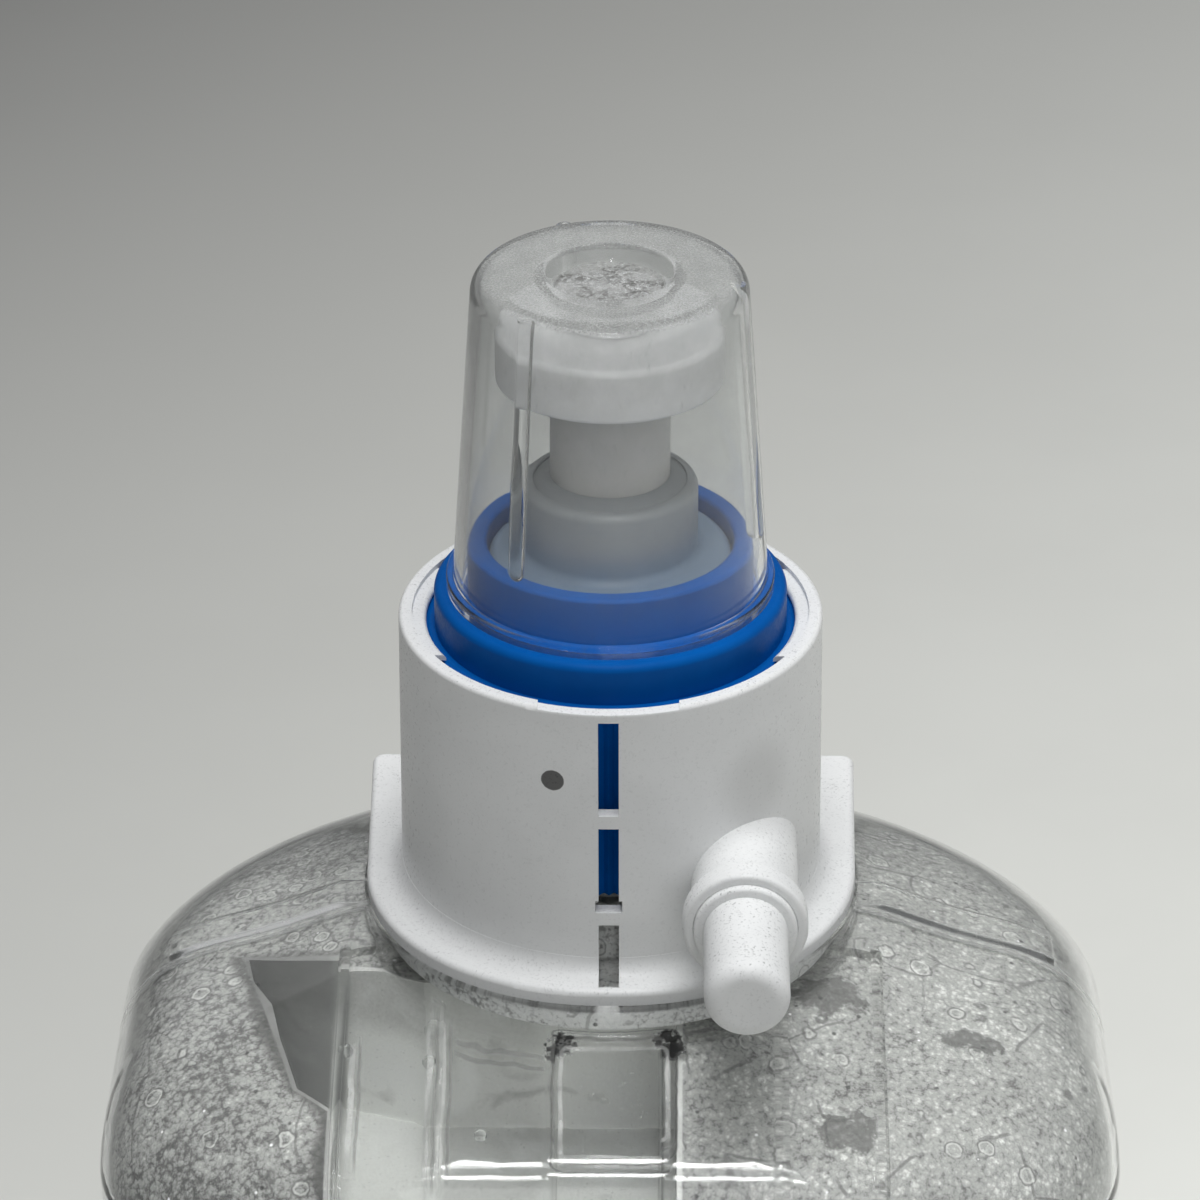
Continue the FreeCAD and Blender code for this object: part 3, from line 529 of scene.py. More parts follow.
@dataclass(frozen=True)
class CapPlastic(ClearPlastic):
    """Cap plastic: a frosted top, a dished middle with grime in it, a wall that clears towards its foot.

    Heights and radii are in millimetres.
    """

    frost: float = 0.42
    frost_from: float = 219.4
    grime: Colour = (0.05, 0.046, 0.042)
    dish_radius: float = 6.9
    foot: float = 182.0
    foot_height: float = 9.0
    foot_haze: float = 0.012
    brow: tuple[float, float] = (207.0, 219.0)
    brow_haze: float = 0.12
    edge: float = 0.3 * MM

    def normal(self, sheet: Sheet) -> Wire:
        """Normal with rounded edges."""
        return sheet.node("ShaderNodeBevel", {"samples": 6}, {"Radius": self.edge})

    def top(self, sheet: Sheet) -> Wire:
        """Share of the frosted top: one on the flat and in the dish, nothing on the wall."""
        _, _, z = sheet.millimetres()
        _, _, up = sheet.facing()
        return z.ramp(self.frost_from - 1.2, self.frost_from) * abs(up).ramp(0.55, 0.95)

    def dish(self, sheet: Sheet) -> Wire:
        """Share of the dish in the middle of the top."""
        x, y, _ = sheet.millimetres()
        away = (x ** 2 + (y - AXIS_Y / MM) ** 2) ** 0.5
        return away.ramp(self.dish_radius + 0.3, self.dish_radius - 0.6)

    def film(self, sheet: Sheet) -> Wire:
        """Mask of haze that is thick on top and thins out towards the foot, with rubbed spots."""
        _, _, z = sheet.millimetres()
        cloud = sheet.noise(5 * MM, detail=5.0, rough=0.65)
        rubs = sheet.noise(0.5 * MM, detail=3.0, rough=0.7, stretch=(1.0, 1.0, 0.25)).ramp(0.6, 0.78)
        low = z.ramp(self.foot, self.foot + self.foot_height, self.foot_haze, self.haze)
        wall = (low + z.ramp(*self.brow, 0.0, self.brow_haze)) * cloud.ramp(0.25, 0.75, 0.8, 1.2)
        grains = sheet.noise(0.3 * MM, detail=3.0, rough=0.7)
        top = self.top(sheet) * (self.frost + grains.ramp(0.35, 0.7, -0.12, 0.14) + self.flecks(sheet) * 0.5)
        return wall.most(top) + rubs * self.dust * 0.5

    def flecks(self, sheet: Sheet) -> Wire:
        """Share of the dish that grime covers."""
        flecks = sheet.noise(0.6 * MM, detail=4.0, rough=0.75, warp=0.8).ramp(0.46, 0.54)
        where = sheet.noise(4 * MM, detail=2.0).ramp(0.35, 0.6, 0.4, 1.0)
        return flecks * where * self.dish(sheet) * self.top(sheet)

    def film_colour(self, sheet: Sheet) -> Wire:
        """Pale film, with dark grime in the dish."""
        colour = super().film_colour(sheet)
        return sheet.blend(self.flecks(sheet) * 0.9, colour, self.grime)


@dataclass(frozen=True)
class MouldedPlastic:
    """Solid-coloured moulded plastic with dust, faint flow marks and a soft gloss."""

    name: str
    colour: Colour
    shade: Colour
    roughness: float = 0.35
    glow: float = 0.0
    glow_depth: float = 2 * MM
    dust: float = 0.0
    dust_colour: Colour = (0.2, 0.2, 0.2)
    gloss: float = 0.5

    def colours(self, sheet: Sheet) -> Wire:
        """Colour with faint flow marks, and dust that lies thicker on top."""
        flow = sheet.noise(12 * MM, detail=5.0, rough=0.6, warp=0.4).ramp(0.3, 0.7)
        colour = sheet.blend(flow, self.shade, self.colour)
        if self.dust:
            _, _, up = sheet.facing()
            grains = sheet.noise(0.34 * MM, detail=3.0, rough=0.7).ramp(0.55, 0.68)
            patches = sheet.noise(5 * MM, detail=4.0).ramp(0.3, 0.7, 0.3, 1.0)
            share = grains * patches * up.ramp(0.0, 0.8, 0.25, 1.0) * self.dust
            colour = sheet.blend(share, colour, self.dust_colour)
        return colour

    def make(self) -> bpy.types.Material:
        """Build the material.

        Returns:
            The material.
        """
        sheet = Sheet(self.name)
        return sheet.finish(self.shader(sheet, self.colours(sheet)))

    def shader(self, sheet: Sheet, colour: Wire) -> Wire:
        """Shader of a colour, with a fine moulded grain."""
        grain = sheet.noise(0.5 * MM, detail=3.0)
        rough = grain.ramp(0.3, 0.7, self.roughness - 0.06, self.roughness + 0.1)
        inputs = {"Base Color": colour, "Roughness": rough, "Normal": sheet.bump(grain, 0.01 * MM, 0.35),
                  "Specular IOR Level": self.gloss}
        if self.glow:
            inputs |= {"Subsurface Weight": self.glow, "Subsurface Radius": (1.0, 1.0, 1.0),
                       "Subsurface Scale": self.glow_depth}
        return sheet.solid(inputs)


@dataclass(frozen=True)
class NaturalPlastic(MouldedPlastic):
    """Uncoloured plastic with painted shade round its foot, tinted with the blue light of the closure."""

    # painted shade round the tower's foot, tinted with the closure's blue light
    painted_foot_shade: Colour = (0.2, 0.27, 0.36)
    foot: float = 187.0
    reach: float = 5.0

    def colours(self, sheet: Sheet) -> Wire:
        """Colour that turns to a painted blue-grey shade towards the deck."""
        _, _, z = sheet.millimetres()
        low = z.ramp(self.foot + self.reach, self.foot)
        return sheet.blend(low, super().colours(sheet), self.painted_foot_shade)


@dataclass(frozen=True)
class CollarPlastic(MouldedPlastic):
    """White plastic of the collar, with a printed dot and a soft painted dark reflection, placed in
    millimetres.
    """

    dot: tuple[float, float] = (-6.52, 168.2)
    dot_radius: float = 1.33
    dot_colour: Colour = (0.035, 0.034, 0.033)
    # painted reflection: a soft dark patch on the collar's right front
    painted_reflection: Place = (17.5, -12.2, 164.3)
    painted_reflection_radii: Place = (4.6, 4.6, 5.0)
    painted_reflection_colour: Colour = (0.3, 0.3, 0.29)

    def colours(self, sheet: Sheet) -> Wire:
        """Dusty white with the painted dark reflection and the printed dot on it."""
        x, y, z = sheet.millimetres()
        # painted reflection laid over the dusty white
        painted_reflection_share = sheet.spot(self.painted_reflection, self.painted_reflection_radii, 0.6)
        colour = sheet.blend(painted_reflection_share * 0.24, super().colours(sheet), self.painted_reflection_colour)
        ragged = sheet.noise(0.4 * MM) * 0.12
        dot_x, dot_z = self.dot
        away = ((x - dot_x) ** 2 + (z - dot_z) ** 2) ** 0.5 + ragged
        ink = away.ramp(self.dot_radius + 0.12, self.dot_radius) * y.ramp(-10, -12)
        return sheet.blend(ink * 0.9, colour, self.dot_colour)


@dataclass(frozen=True)
class Foam:
    """Foam of fine bubbles: round cells, larger cell walls, rings with painted dark and pale rims, painted
    white glints, dark specks, and painted shade towards -X.
    """

    name: str
    dark: Colour = (0.13, 0.13, 0.125)
    grey: Colour = (0.42, 0.425, 0.405)
    pale: Colour = (0.86, 0.87, 0.83)
    speck_colour: Colour = (0.03, 0.03, 0.03)
    cell: float = 0.75 * MM
    ring: float = 4.2 * MM
    wall_cell: float = 14 * MM
    speck: float = 1.5 * MM

    def tones(self, sheet: Sheet) -> tuple[Wire, Wire]:
        """Colour and height of the foam."""
        x, _, _ = sheet.millimetres()
        soft = sheet.bent(0.5 * MM, 1.5 * MM)
        small = sheet.cells(self.cell, "F1", vector=soft)
        shade, _, _ = sheet.split(sheet.cells(self.cell, "F1", "Color", vector=soft))
        large = sheet.cells(self.wall_cell, "DISTANCE_TO_EDGE", vector=sheet.bent(1.5 * MM, 9 * MM))
        tone = sheet.noise(9 * MM, detail=5.0, rough=0.6)
        curls = sheet.noise(1.3 * MM, detail=2.0, warp=1.0)
        fine = sheet.noise(0.28 * MM, detail=2.0, rough=0.7)
        domes = small.ramp(0.1, 0.6, 1.0, 0.0)
        # the last term is painted shade: darker towards -X and paler towards +X, where the lamps on the right
        # light the foam most
        level = (0.5 + (tone - 0.5) * 0.6 + (curls - 0.5) * 0.5 + (fine - 0.5) * 0.7 + (shade - 0.5) * 0.22
                 + (0.4 - small) * 0.4 + x.ramp(-40, 40, -0.1, 0.06, Shape.STRAIGHT))
        colour = sheet.blend(level.ramp(0.1, 0.5), self.dark, self.grey)
        colour = sheet.blend(level.ramp(0.5, 0.95), colour, self.pale)
        wall = large.ramp(0.006, 0.018, 1.0, 0.0) * tone.ramp(0.48, 0.56)
        colour = sheet.blend(wall * 0.6, colour, self.dark)
        away = sheet.cells(self.ring, "F1", vector=soft)
        chance, _, _ = sheet.split(sheet.cells(self.ring, "F1", "Color", vector=soft))
        rings = chance.ramp(0.4, 0.45) * tone.ramp(0.38, 0.5)
        edge = chance * 0.2 + 0.15
        # painted shade and painted highlight: each ring gets a dark rim with a pale rim just inside it
        colour = sheet.blend(abs(away - edge).ramp(0.05, 0.0) * rings * 0.7, colour, self.dark)
        colour = sheet.blend(abs(away - edge + 0.06).ramp(0.05, 0.0) * rings * 0.5, colour, self.pale)
        luck, other, _ = sheet.split(sheet.cells(self.speck, "F1", "Color"))
        near = sheet.cells(self.speck, "F1")
        specks = luck.ramp(0.93, 0.94) * near.ramp(0.12, 0.26, 1.0, 0.0)
        # painted highlights: small white glints
        glints = other.ramp(0.93, 0.94) * near.ramp(0.1, 0.18, 1.0, 0.0)
        colour = sheet.blend(specks * 0.8, colour, self.speck_colour)
        colour = sheet.blend(glints, colour, (1.0, 1.0, 1.0))
        return colour, domes * 0.6 + fine * 0.4

    def shader(self, sheet: Sheet) -> Wire:
        """Wet foam."""
        colour, height = self.tones(sheet)
        return sheet.solid({"Base Color": colour, "Roughness": 0.3,
                            "Normal": sheet.bump(height, 0.12 * MM, 0.6)})

    def make(self) -> bpy.types.Material:
        """Build the material.

        Returns:
            The material.
        """
        sheet = Sheet(self.name)
        return sheet.finish(self.shader(sheet))


@dataclass(frozen=True)
class FoamyGel(Foam):
    """Foamy gel with wet dark pockets in it, painted shade in the creases along its clear stretch, and a soft
    look of painted light and shade deep inside that stretch.

    Places are in millimetres, on the bottle as it stands.
    """

    left_upper: tuple[float, float, float] = (-44.6, 1.4, 0.288)
    left_lower: tuple[float, float, float] = (-36.9, -25.3, 1.02)
    left_end: float = -32.5
    back_line: tuple[float, float, float] = (-44.6, 1.4, 0.45)
    back_end: float = -8.1
    clear_right: float = 8.1
    seen_above: float = 111.0
    # painted light and shade: grey levels, across X, of what shows deep in the clear stretch
    deep: tuple[tuple[float, float], ...] = (
        (-45.0, 0.22), (-34.5, 0.42), (-31.0, 0.95), (-24.0, 0.97), (-20.0, 0.75), (-10.0, 0.78),
        (-7.2, 0.97), (8.0, 0.97))
    # painted shade and painted light deep in the clear stretch
    painted_dim_shade: Colour = (0.09, 0.09, 0.085)
    painted_glow_colour: Colour = (0.95, 0.96, 0.94)
    # painted shade in the creases along the clear stretch
    painted_crease_shade: Colour = (0.08, 0.08, 0.075)
    pockets: tuple[tuple[Place, Place], ...] = (
        ((28.5, -31.5, 128.0), (4.0, 2.4, 3.0)), ((44.0, -15.0, 129.6), (3.2, 1.7, 3.0)),
        ((25.4, -10.6, 133.6), (5.0, 3.4, 3.0)))
    pocket_colour: Colour = (0.1, 0.1, 0.095)
    low_colour: Colour = (0.62, 0.63, 0.61)
    # painted pools of light deep in the clear stretch
    painted_glows: tuple[tuple[Place, Place], ...] = (
        ((0.6, -12.0, 116.0), (4.5, 10.0, 6.0)), ((-26.5, -10.0, 118.0), (4.0, 9.0, 5.0)))

    def stretch(self, sheet: Sheet) -> tuple[Wire, Wire]:
        """Share of the clear stretch's walls, and the painted shade in the crease along the stretch's left
        and back edges.

        An edge runs from a point, given as X and Y, with a slope.

        Args:
            sheet: the material's sheet.

        Returns:
            Two masks.
        """
        x, y, z = sheet.millimetres()
        edges = (self.left_upper, self.left_lower)
        upper, lower = (from_x + (from_y - y) * slope for from_x, from_y, slope in edges)
        inside = x - upper.most(lower).least(self.left_end)
        back_x, back_y, back_slope = self.back_line
        back = (back_y - (x - back_x) * back_slope).most(self.back_end) - y
        front = back.ramp(-0.8, -0.4) * z.ramp(self.seen_above - 0.5, self.seen_above)
        toward, _, _ = sheet.facing()
        wobble = (sheet.noise(4 * MM, detail=4.0) - 0.5) * 4.0
        left_crease = abs(inside + 0.8 + wobble).ramp(1.9, 0.3) * front
        back_crease = (abs(back + 0.4 + wobble).ramp(1.6, 0.2) * x.ramp(-30, -33) * inside.ramp(-1.0, 0.0)
                       * 0.7)
        right = (self.clear_right - x).ramp(-0.8, -0.5) * toward.ramp(-0.7, -0.4)
        return inside.ramp(-0.8, -0.5) * right * front, left_crease.most(back_crease)

    def soft_look(self, sheet: Sheet) -> Wire:
        """Painted light and shade of what shows deep in the clear stretch: grey levels across X, painted
        shade up high, on upward faces, on faces towards +X and in cloudy patches, and painted pale clouds and
        glows.
        """
        x, _, z = sheet.millimetres()
        toward, _, up = sheet.facing()
        first, last = self.deep[0][0], self.deep[-1][0]
        stops = [((place - first) / (last - first), (grey, grey * 1.01, grey * 0.97))
                 for place, grey in self.deep]
        across = x.ramp(first, last, shape=Shape.STRAIGHT)
        base = sheet.node("ShaderNodeValToRGB", {"stops": stops}, {0: across})
        cloud = sheet.noise(8 * MM, detail=3.0, rough=0.5, warp=0.8)
        grain = sheet.noise(0.4 * MM, detail=3.0, rough=0.7).ramp(0.3, 0.7, -0.06, 0.06)
        high = z.ramp(122.5, 128) * x.ramp(-20, -23, 0.1, 0.4)
        shade = up.ramp(0.3, 0.8, 0.0, 0.25).most(high).most(cloud.ramp(0.44, 0.25) * 0.45)
        dim = sheet.blend(shade.most(toward.ramp(0.4, 0.7)) + grain, base, self.painted_dim_shade)
        pale = cloud.ramp(0.5, 0.75) * x.ramp(-35, -31, 0.1, 0.5)
        for centre, radii in self.painted_glows:
            pale = pale.most(sheet.spot(centre, radii, 0.9) * cloud.ramp(0.35, 0.55, 0.3, 1.0))
        return sheet.blend(pale, dim, self.painted_glow_colour)

    def tones(self, sheet: Sheet) -> tuple[Wire, Wire]:
        """Colour and height of the foam, with the pockets, the painted crease shade and the painted soft look
        laid in.
        """
        colour, height = super().tones(sheet)
        _, y, z = sheet.millimetres()
        inside, crease = self.stretch(sheet)
        wobble = (sheet.noise(3 * MM, detail=5.0, rough=0.65) - 0.5) * 3.2
        low = z.ramp(self.seen_above + 2, self.seen_above - 8)
        colour = sheet.blend(low * 0.25, colour, self.low_colour)
        wet = sheet.noise(24 * MM, detail=3.0, warp=0.5).ramp(0.6, 0.66, 0.0, 0.5) * low.most(y.ramp(20, 28))
        for centre, radii in self.pockets:
            wet = wet.most(sheet.spot(centre, radii, 0.15, wobble))
        colour = sheet.blend(wet * 0.7, colour, self.pocket_colour)
        # painted shade in the creases
        colour = sheet.blend(crease * 0.8, colour, self.painted_crease_shade)
        smooth = wet.most(inside)
        return sheet.blend(inside, colour, self.soft_look(sheet)), height * (1 - smooth * 0.85)


@dataclass(frozen=True)
class ClearGel:
    """Gel with no foam in it, only a few specks, which bends what is behind it in soft waves."""

    name: str
    bend: float = 1.01
    wave: float = 2.0 * MM
    lamp_tint: Colour = (0.95, 0.955, 0.95)

    def make(self) -> bpy.types.Material:
        """Build the material.

        Returns:
            The material.
        """
        sheet = Sheet(self.name)
        waves = sheet.noise(6 * MM, detail=2.0, rough=0.45, warp=0.5)
        inputs = {"Base Color": (0.98, 0.985, 0.98), "Roughness": 0.02, "IOR": self.bend,
                  "Transmission Weight": 1.0, "Normal": sheet.bump(waves, self.wave, 1.0)}
        specks = sheet.noise(0.5 * MM, detail=2.0, rough=0.7).ramp(0.66, 0.74) * 0.35
        film = sheet.solid({"Base Color": (0.5, 0.51, 0.49), "Roughness": 0.4})
        clear = sheet.lets_lamps_through(sheet.solid(inputs), self.lamp_tint)
        return sheet.finish(sheet.mix(specks + 0.02, clear, film))


@dataclass(frozen=True)
class Bubble:
    """Skin of an air bubble."""

    name: str
    bend: float = 1.25
    lamp_tint: Colour = (0.95, 0.95, 0.95)

    def make(self) -> bpy.types.Material:
        """Build the material.

        Returns:
            The material.
        """
        sheet = Sheet(self.name)
        cloud = sheet.noise(1.5 * MM).ramp(0.4, 0.7, 0.0, 0.12)
        skin = sheet.solid({"Base Color": (0.98, 0.99, 0.98), "Roughness": 0.02, "IOR": self.bend,
                            "Transmission Weight": 1.0})
        film = sheet.solid({"Base Color": (0.6, 0.61, 0.6), "Roughness": 0.3})
        return sheet.finish(sheet.mix(cloud, sheet.lets_lamps_through(skin, self.lamp_tint), film))


@dataclass(frozen=True)
class Steel:
    """Bright drawn or polished steel."""

    name: str
    roughness: float = 0.25

    def make(self) -> bpy.types.Material:
        """Build the material.

        Returns:
            The material.
        """
        sheet = Sheet(self.name)
        grain = sheet.noise(0.3 * MM, detail=3.0, stretch=(1.0, 1.0, 6.0))
        colour = sheet.blend(grain.ramp(0.3, 0.7), (0.52, 0.53, 0.54), (0.68, 0.69, 0.7))
        rough = grain.ramp(0.3, 0.7, self.roughness - 0.08, self.roughness + 0.1)
        return sheet.finish(sheet.solid({"Base Color": colour, "Metallic": 1.0, "Roughness": rough}))


def dress(finish: Finish, *nodes: str) -> None:
    """Give carried-over nodes a finish.

    Args:
        finish: the finish.
        nodes: the nodes' names.
    """
    material = finish.make()
    for node in nodes:
        mesh = frame["nodes"][node].data
        mesh.materials.clear()
        mesh.materials.append(material)
        log.info("dressed %s with %s", node, material.name)


def add_piece(name: str, shape: bmesh.types.BMesh, finish: Finish, body: Body) -> bpy.types.Object:
    """Make a smooth piece of a shape, which is freed, and let it ride on a body."""
    mesh = bpy.data.meshes.new(name)
    shape.to_mesh(mesh)
    shape.free()
    mesh.shade_smooth()
    mesh.materials.append(finish.make())
    piece = bpy.data.objects.new(name, mesh)
    bpy.context.scene.collection.objects.link(piece)
    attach(piece, body.value)
    log.info("built %s: %d faces, on %s", name, len(mesh.polygons), body.value)
    return piece


@dataclass(frozen=True)
class Coil:
    """Spring of the frame that a joint shortens from its free end towards the end that stays; the copy made
    here keeps its length.
    """

    name: str
    node: str
    joint: str
    body: Body
    stays_high: bool

    def build(self) -> None:
        """Copy the spring onto its body and hide the frame's spring."""
        shape = bmesh.new()
        shape.from_mesh(frame["nodes"][self.node].data)
        bmesh.ops.remove_doubles(shape, verts=shape.verts[:], dist=MERGE)
        coil = add_piece(self.name, shape, Steel("spring_steel"), self.body)
        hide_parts(self.node)
        low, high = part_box(self.node)
        travel = max(next(joint["range_m"] for joint in frame["joints"] if joint["name"] == self.joint))
        1 - travel / (high.z - low.z)
        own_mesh(coil)


@dataclass
class Refill:
    """Clear bottle and the foamy gel in it.

    Sizes are in metres. A big bubble is given as X, Y and radius, and the neck's foam as radii and heights.
    """

    bubble_count: int = 1500
    bubble_radii: tuple[float, float] = (0.00022, 0.00062)
    big_bubbles: tuple[tuple[float, float, float], ...] = (
        (-0.0212, -0.0172, 0.0012), (-0.0317, -0.0180, 0.0009), (-0.0215, -0.0222, 0.0009),
        (-0.0150, -0.0330, 0.0008))
    sunk: float = 0.62
    bubble_room: float = 0.00022
    shoulder_foot: float = 0.1125
    shoulder_lean: float = 0.3
    neck_foam: tuple[tuple[float, float], ...] = (
        (0.0020, 0.1356), (0.0280, 0.1356), (0.0280, 0.1384), (0.0167, 0.1388), (0.0167, 0.1700),
        (0.0144, 0.1700), (0.0144, 0.1390), (0.0020, 0.1390))
    neck_foam_steps: int = 72
    neck_foam_rounding: float = 0.0004
    sharp: float = 0.6
    seed: int = 7

    def build(self) -> None:
        """Dress the bottle and the gel, and make what is inside the gel."""
        dress(BottlePlastic("clear_bottle", bend=1.14, haze=0.02, dust=0.04, sheen=0.04), "bottle")
        dress(FoamyGel("foamy_gel"), "gel_fill")
        dress(ClearGel("clear_gel"), "clear_gel")
        self.foam_in_neck()
        self.bubbles()

    def foam_in_neck(self) -> None:
        """Make the foam in the plinth and the neck, which shows under the collar and in its lowest window."""
        shape = bmesh.new()
        verts = [shape.verts.new((radius, AXIS_Y, height)) for radius, height in self.neck_foam]
        edges = [shape.edges.new((vert, verts[i - 1])) for i, vert in enumerate(verts)]
        bmesh.ops.spin(shape, geom=verts + edges, cent=(0.0, AXIS_Y, 0.0), axis=(0.0, 0.0, 1.0),
                       angle=2 * math.pi, steps=self.neck_foam_steps, use_merge=True)
        bmesh.ops.remove_doubles(shape, verts=shape.verts[:], dist=MERGE)
        bmesh.ops.recalc_face_normals(shape, faces=shape.faces[:])
        corners = [edge for edge in shape.edges if edge.calc_face_angle(0.0) > self.sharp]
        bmesh.ops.bevel(shape, geom=corners, offset=self.neck_foam_rounding, affect="EDGES", segments=2,
                        profile=0.5, material=-1)
        # painted light: the neck's foam is paler than the gel's foam, for the light that reaches it there
        foam = Foam("neck_foam", dark=(0.3, 0.3, 0.29), grey=(0.9, 0.91, 0.89), pale=(1.0, 1.0, 0.98))
        add_piece("neck_foam", shape, foam, Body.BOTTLE)

    def bubbles(self) -> None:
        """Make the bubbles that lie against the bottle's wall, most of them small."""
        draw = random.Random(self.seed)
        gel = frame["nodes"]["gel_fill"].data
        ball = self.ball()
        shape = bmesh.new()
        faces = draw.choices(gel.polygons, weights=[face.area for face in gel.polygons], k=self.bubble_count)
        least, most = self.bubble_radii
        for face in faces:
            first, second, third = (gel.vertices[corner].co for corner in face.vertices[:3])
            across, along = draw.random(), draw.random()
            if across + along > 1:
                across, along = 1 - across, 1 - along
            place = first + (second - first) * across + (third - first) * along
            self.bubble(shape, ball, place, face.normal, least + (most - least) * draw.random() ** 2)
        clear = frame["nodes"]["clear_gel"].data
        tops = [face for mesh in (gel, clear) for face in mesh.polygons
                if face.normal.z > self.shoulder_lean and face.center.z > self.shoulder_foot]
        for x, y, radius in self.big_bubbles:
            face = min(tops, key=lambda top: (top.center.x - x) ** 2 + (top.center.y - y) ** 2)
            slope = (face.center.x - x) * face.normal.x + (face.center.y - y) * face.normal.y
            place = Vector((x, y, face.center.z + slope / face.normal.z))
            self.bubble(shape, ball, place, face.normal, radius)
        bpy.data.meshes.remove(ball)
        add_piece("bubbles", shape, Bubble("bubble_skin"), Body.BOTTLE)

    def ball(self) -> bpy.types.Mesh:
        """Make the round shape that every bubble is a copy of.

        Returns:
            A ball of radius one.
        """
        shape = bmesh.new()
        bmesh.ops.create_uvsphere(shape, u_segments=8, v_segments=5, radius=1.0)
        mesh = bpy.data.meshes.new("ball")
        shape.to_mesh(mesh)
        shape.free()
        return mesh

    def bubble(self, shape: bmesh.types.BMesh, ball: bpy.types.Mesh, place: Vector, outward: Vector,
               radius: float) -> None:
        """Add one bubble to a shape, sunk into the gel at a place with a normal outward."""
        depth = max(radius * self.sunk, radius - self.bubble_room)
        move = Matrix.Translation(place - outward * depth) @ Matrix.Scale(radius, 4)
        ball.transform(move)
        shape.from_mesh(ball)
        ball.transform(move.inverted())


@dataclass
class KeyCollar:
    """White collar round the neck, and the peg in its side boss."""

    white: Colour = (0.80, 0.81, 0.81)
    shade: Colour = (0.76, 0.77, 0.77)

    def build(self) -> None:
        """Dress the collar and the peg."""
        dress(CollarPlastic("white_collar", self.white, self.shade, 0.32, dust=0.5), "collar")
        dress(MouldedPlastic("white_key", self.white, self.shade, 0.4, dust=0.9), "key_plug")


@dataclass
class ScrewClosure:
    """Blue closure and the rubber seals."""

    blue: Colour = (0.001, 0.098, 0.39)
    deep_blue: Colour = (0.001, 0.08, 0.33)
    rubber: Colour = (0.42, 0.42, 0.4)
    rubber_shade: Colour = (0.36, 0.36, 0.35)

    def build(self) -> None:
        """Dress the closure and the seals."""
        dress(MouldedPlastic("blue_closure", self.blue, self.deep_blue, 0.4, gloss=0.08), "closure")
        dress(MouldedPlastic("seal_rubber", self.rubber, self.rubber_shade, 0.6),
              "neck_gasket", "inlet_valve", "piston_seal")


@dataclass
class PumpHead:
    """Tower, sliding stem, drive flange and valves."""

    natural: Colour = (0.38, 0.4, 0.41)
    natural_shade: Colour = (0.34, 0.36, 0.37)
    stem: Colour = (0.6, 0.595, 0.58)
    stem_shade: Colour = (0.56, 0.555, 0.54)
    flange: Colour = (0.94, 0.95, 0.945)
    flange_shade: Colour = (0.9, 0.91, 0.905)

    def build(self) -> None:
        """Dress the pump, and copy the springs that the joints shorten."""
        dress(NaturalPlastic("natural_plastic", self.natural, self.natural_shade, 0.4, glow=0.3),
              "pump_tower", "stem_wiper", "pump_cylinder")
        dress(MouldedPlastic("natural_stem", self.stem, self.stem_shade, 0.4, glow=0.4), "piston_stem")
        dress(MouldedPlastic("white_translucent", self.flange, self.flange_shade, 0.35, glow=0.8,
                             glow_depth=4 * MM), "drive_flange", "nozzle_tip")
        Coil("return_coil", "return_spring", "pump_stroke", Body.BOTTLE, stays_high=False).build()
        Coil("outlet_coil", "outlet_spring", "outlet_ball_lift", Body.STEM, stays_high=True).build()
        dress(Steel("ball_steel", 0.12), "outlet_ball")


@dataclass
class DustCap:
    """Clear cap over the pump."""

    haze: float = 0.095
    haze_colour: Colour = (0.47, 0.48, 0.47)
    bend: float = 1.3

    def build(self) -> None:
        """Dress the cap."""
        dress(CapPlastic("clear_cap", bend=self.bend, haze=self.haze, haze_colour=self.haze_colour),
              "dust_cap")


class LampUse(Enum):
    """What a lamp gives: light, light that clear surfaces don't mirror, glints only, or light and glints."""

    LIGHT = "light"
    SOFT = "soft"
    GLINT = "glint"
    BOTH = "both"


@dataclass(frozen=True)
class Lamp:
    """Rectangular lamp: its middle and size in metres, its power in watts and its use."""

    name: str
    place: Place
    size: tuple[float, float]
    power: float
    use: LampUse

    def hang(self) -> None:
        """Hang the lamp so that it points at the collar."""
        data = bpy.data.lights.new(self.name, "AREA")
        data.shape = "RECTANGLE"
        data.size, data.size_y = self.size
        data.energy = self.power
        lamp = bpy.data.objects.new(self.name, data)
        lamp.location = self.place
        lamp.rotation_euler = (RIM - Vector(self.place)).to_track_quat("-Z", "Y").to_euler()
        lamp.visible_glossy = self.use in (LampUse.GLINT, LampUse.BOTH)
        lamp.visible_transmission = self.use is not LampUse.SOFT
        lamp.visible_diffuse = self.use is not LampUse.GLINT
        bpy.context.scene.collection.objects.link(lamp)


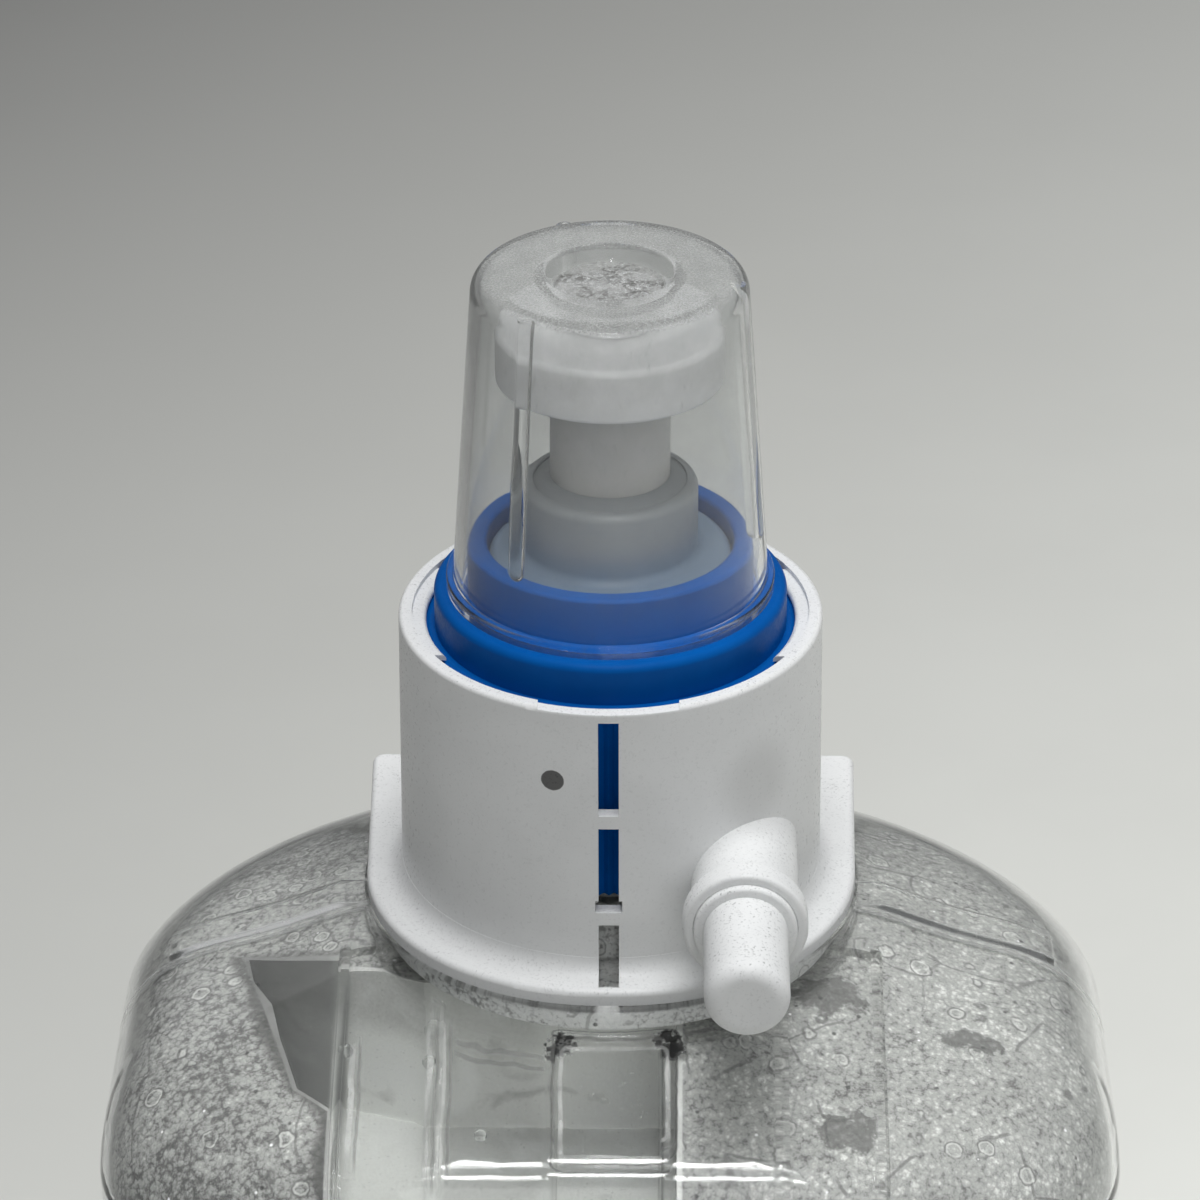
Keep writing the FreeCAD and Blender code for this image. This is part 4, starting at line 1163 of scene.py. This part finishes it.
@dataclass
class Studio:
    """Counter, lamps and camera."""

    camera_distance: float = 0.5994
    camera_pitch: float = 28.70
    camera_roll: float = -0.2
    camera_yaw: float = -0.8
    focal_pixels: float = 5004.0
    frame_pixels: float = 1200.0
    rim_pixel: tuple[float, float] = (610.5, 607.2)
    sensor_width: float = 36.0
    counter_size: float = 4.0
    # painted shade on the counter: darker towards the far left and in front of the bottle
    counter_painted_shade: Colour = (0.30, 0.30, 0.29)
    counter_near: Colour = (0.97, 0.98, 0.93)
    counter_cloud: Colour = (0.42, 0.42, 0.40)
    room_colour: Colour = (0.93, 0.96, 1.0)
    room_strength: float = 0.1
    lamps: tuple[Lamp, ...] = (
        Lamp("front_panel", (0.02, -0.66, 1.13), (0.24, 0.07), 1.4, LampUse.GLINT),
        Lamp("mid_panel", (0.02, -0.32, 1.27), (0.24, 0.08), 1.6, LampUse.GLINT),
        Lamp("top_panel", (0.06, -0.06, 1.3), (0.8, 0.6), 12.8, LampUse.SOFT),
        Lamp("fill", (0.25, -1.1, 0.75), (0.8, 0.6), 2.4, LampUse.LIGHT),
        Lamp("back_fill", (-0.5, 1.2, 0.7), (0.8, 0.6), 0.9, LampUse.LIGHT),
        Lamp("ceiling", (0.1, 0.1, 1.5), (4.0, 4.0), 6.0, LampUse.BOTH),
        Lamp("window", (1.1, 0.0, 0.75), (0.8, 0.8), 0.9, LampUse.LIGHT))

    def build(self) -> None:
        """Make the counter, the lamps, the world and the camera."""
        self.counter()
        self.light()
        self.camera()

    def counter(self) -> None:
        """Lay the pale counter that the bottle stands on, with painted shade that darkens it towards the far
        left and in front of the bottle.
        """
        mesh = bpy.data.meshes.new("counter")
        shape = bmesh.new()
        bmesh.ops.create_grid(shape, x_segments=8, y_segments=8, size=self.counter_size)
        shape.to_mesh(mesh)
        shape.free()
        counter = bpy.data.objects.new("counter", mesh)
        bpy.context.scene.collection.objects.link(counter)
        sheet = Sheet("counter")
        x, y, _ = sheet.split(sheet.place())
        # share of the pale colour, with painted shade towards the far left and in front of the bottle
        across = (x * 0.9 - y * 0.55).ramp(-0.5, 0.12, shape=Shape.STRAIGHT) * y.ramp(0.06, -0.3, 1.0, 0.3)
        stops = [(0.0, self.counter_painted_shade), (1.0, self.counter_near)]
        pale = sheet.node("ShaderNodeValToRGB", {"stops": stops}, {0: across})
        cloud = sheet.noise(0.08, detail=4.0)
        colour = sheet.blend(cloud.ramp(0.3, 0.7) * 0.08, pale, self.counter_cloud)
        mesh.materials.append(sheet.finish(sheet.solid({"Base Color": colour, "Roughness": 0.45})))

    def light(self) -> None:
        """Light the part from above, a little more from the right, with a dim room round it."""
        for lamp in self.lamps:
            lamp.hang()
        world = bpy.data.worlds.new("room")
        world.use_nodes = True
        room = world.node_tree.nodes["Background"].inputs
        room["Color"].default_value = (*self.room_colour, 1.0)
        room["Strength"].default_value = self.room_strength
        bpy.context.scene.world = world

    def camera(self) -> None:
        """Set the camera where the photograph was taken from."""
        pitch = math.radians(self.camera_pitch)
        forward = Vector((0.0, math.cos(pitch), -math.sin(pitch)))
        up = Vector((0.0, math.sin(pitch), math.cos(pitch)))
        right = Vector((1.0, 0.0, 0.0))
        scale = self.camera_distance / self.focal_pixels
        aside = (self.rim_pixel[0] - self.frame_pixels / 2) * scale
        above = (self.frame_pixels / 2 - self.rim_pixel[1]) * scale
        turn = Matrix.Rotation(math.radians(-self.camera_yaw), 3, "Z")
        offset = -(right * aside + up * above + forward * self.camera_distance)
        basis = Matrix((right, up, -forward)).transposed()
        basis = turn @ basis @ Matrix.Rotation(math.radians(self.camera_roll), 3, "Z")
        data = bpy.data.cameras.new("camera")
        data.sensor_width = self.sensor_width
        data.lens = self.sensor_width * self.focal_pixels / self.frame_pixels
        data.clip_start = 0.01
        camera = bpy.data.objects.new("camera", data)
        camera.matrix_world = Matrix.Translation(RIM + turn @ offset) @ basis.to_4x4()
        bpy.context.scene.collection.objects.link(camera)
        bpy.context.scene.camera = camera


def main() -> None:
    """Build the studio and every sub-assembly."""
    logging.basicConfig(level=logging.INFO, format="%(name)s: %(message)s")
    bpy.context.scene.view_settings.view_transform = "Standard"
    for part in (Studio(), Refill(), KeyCollar(), ScrewClosure(), PumpHead(), DustCap()):
        part.build()


if __name__ == "__main__":
    main()
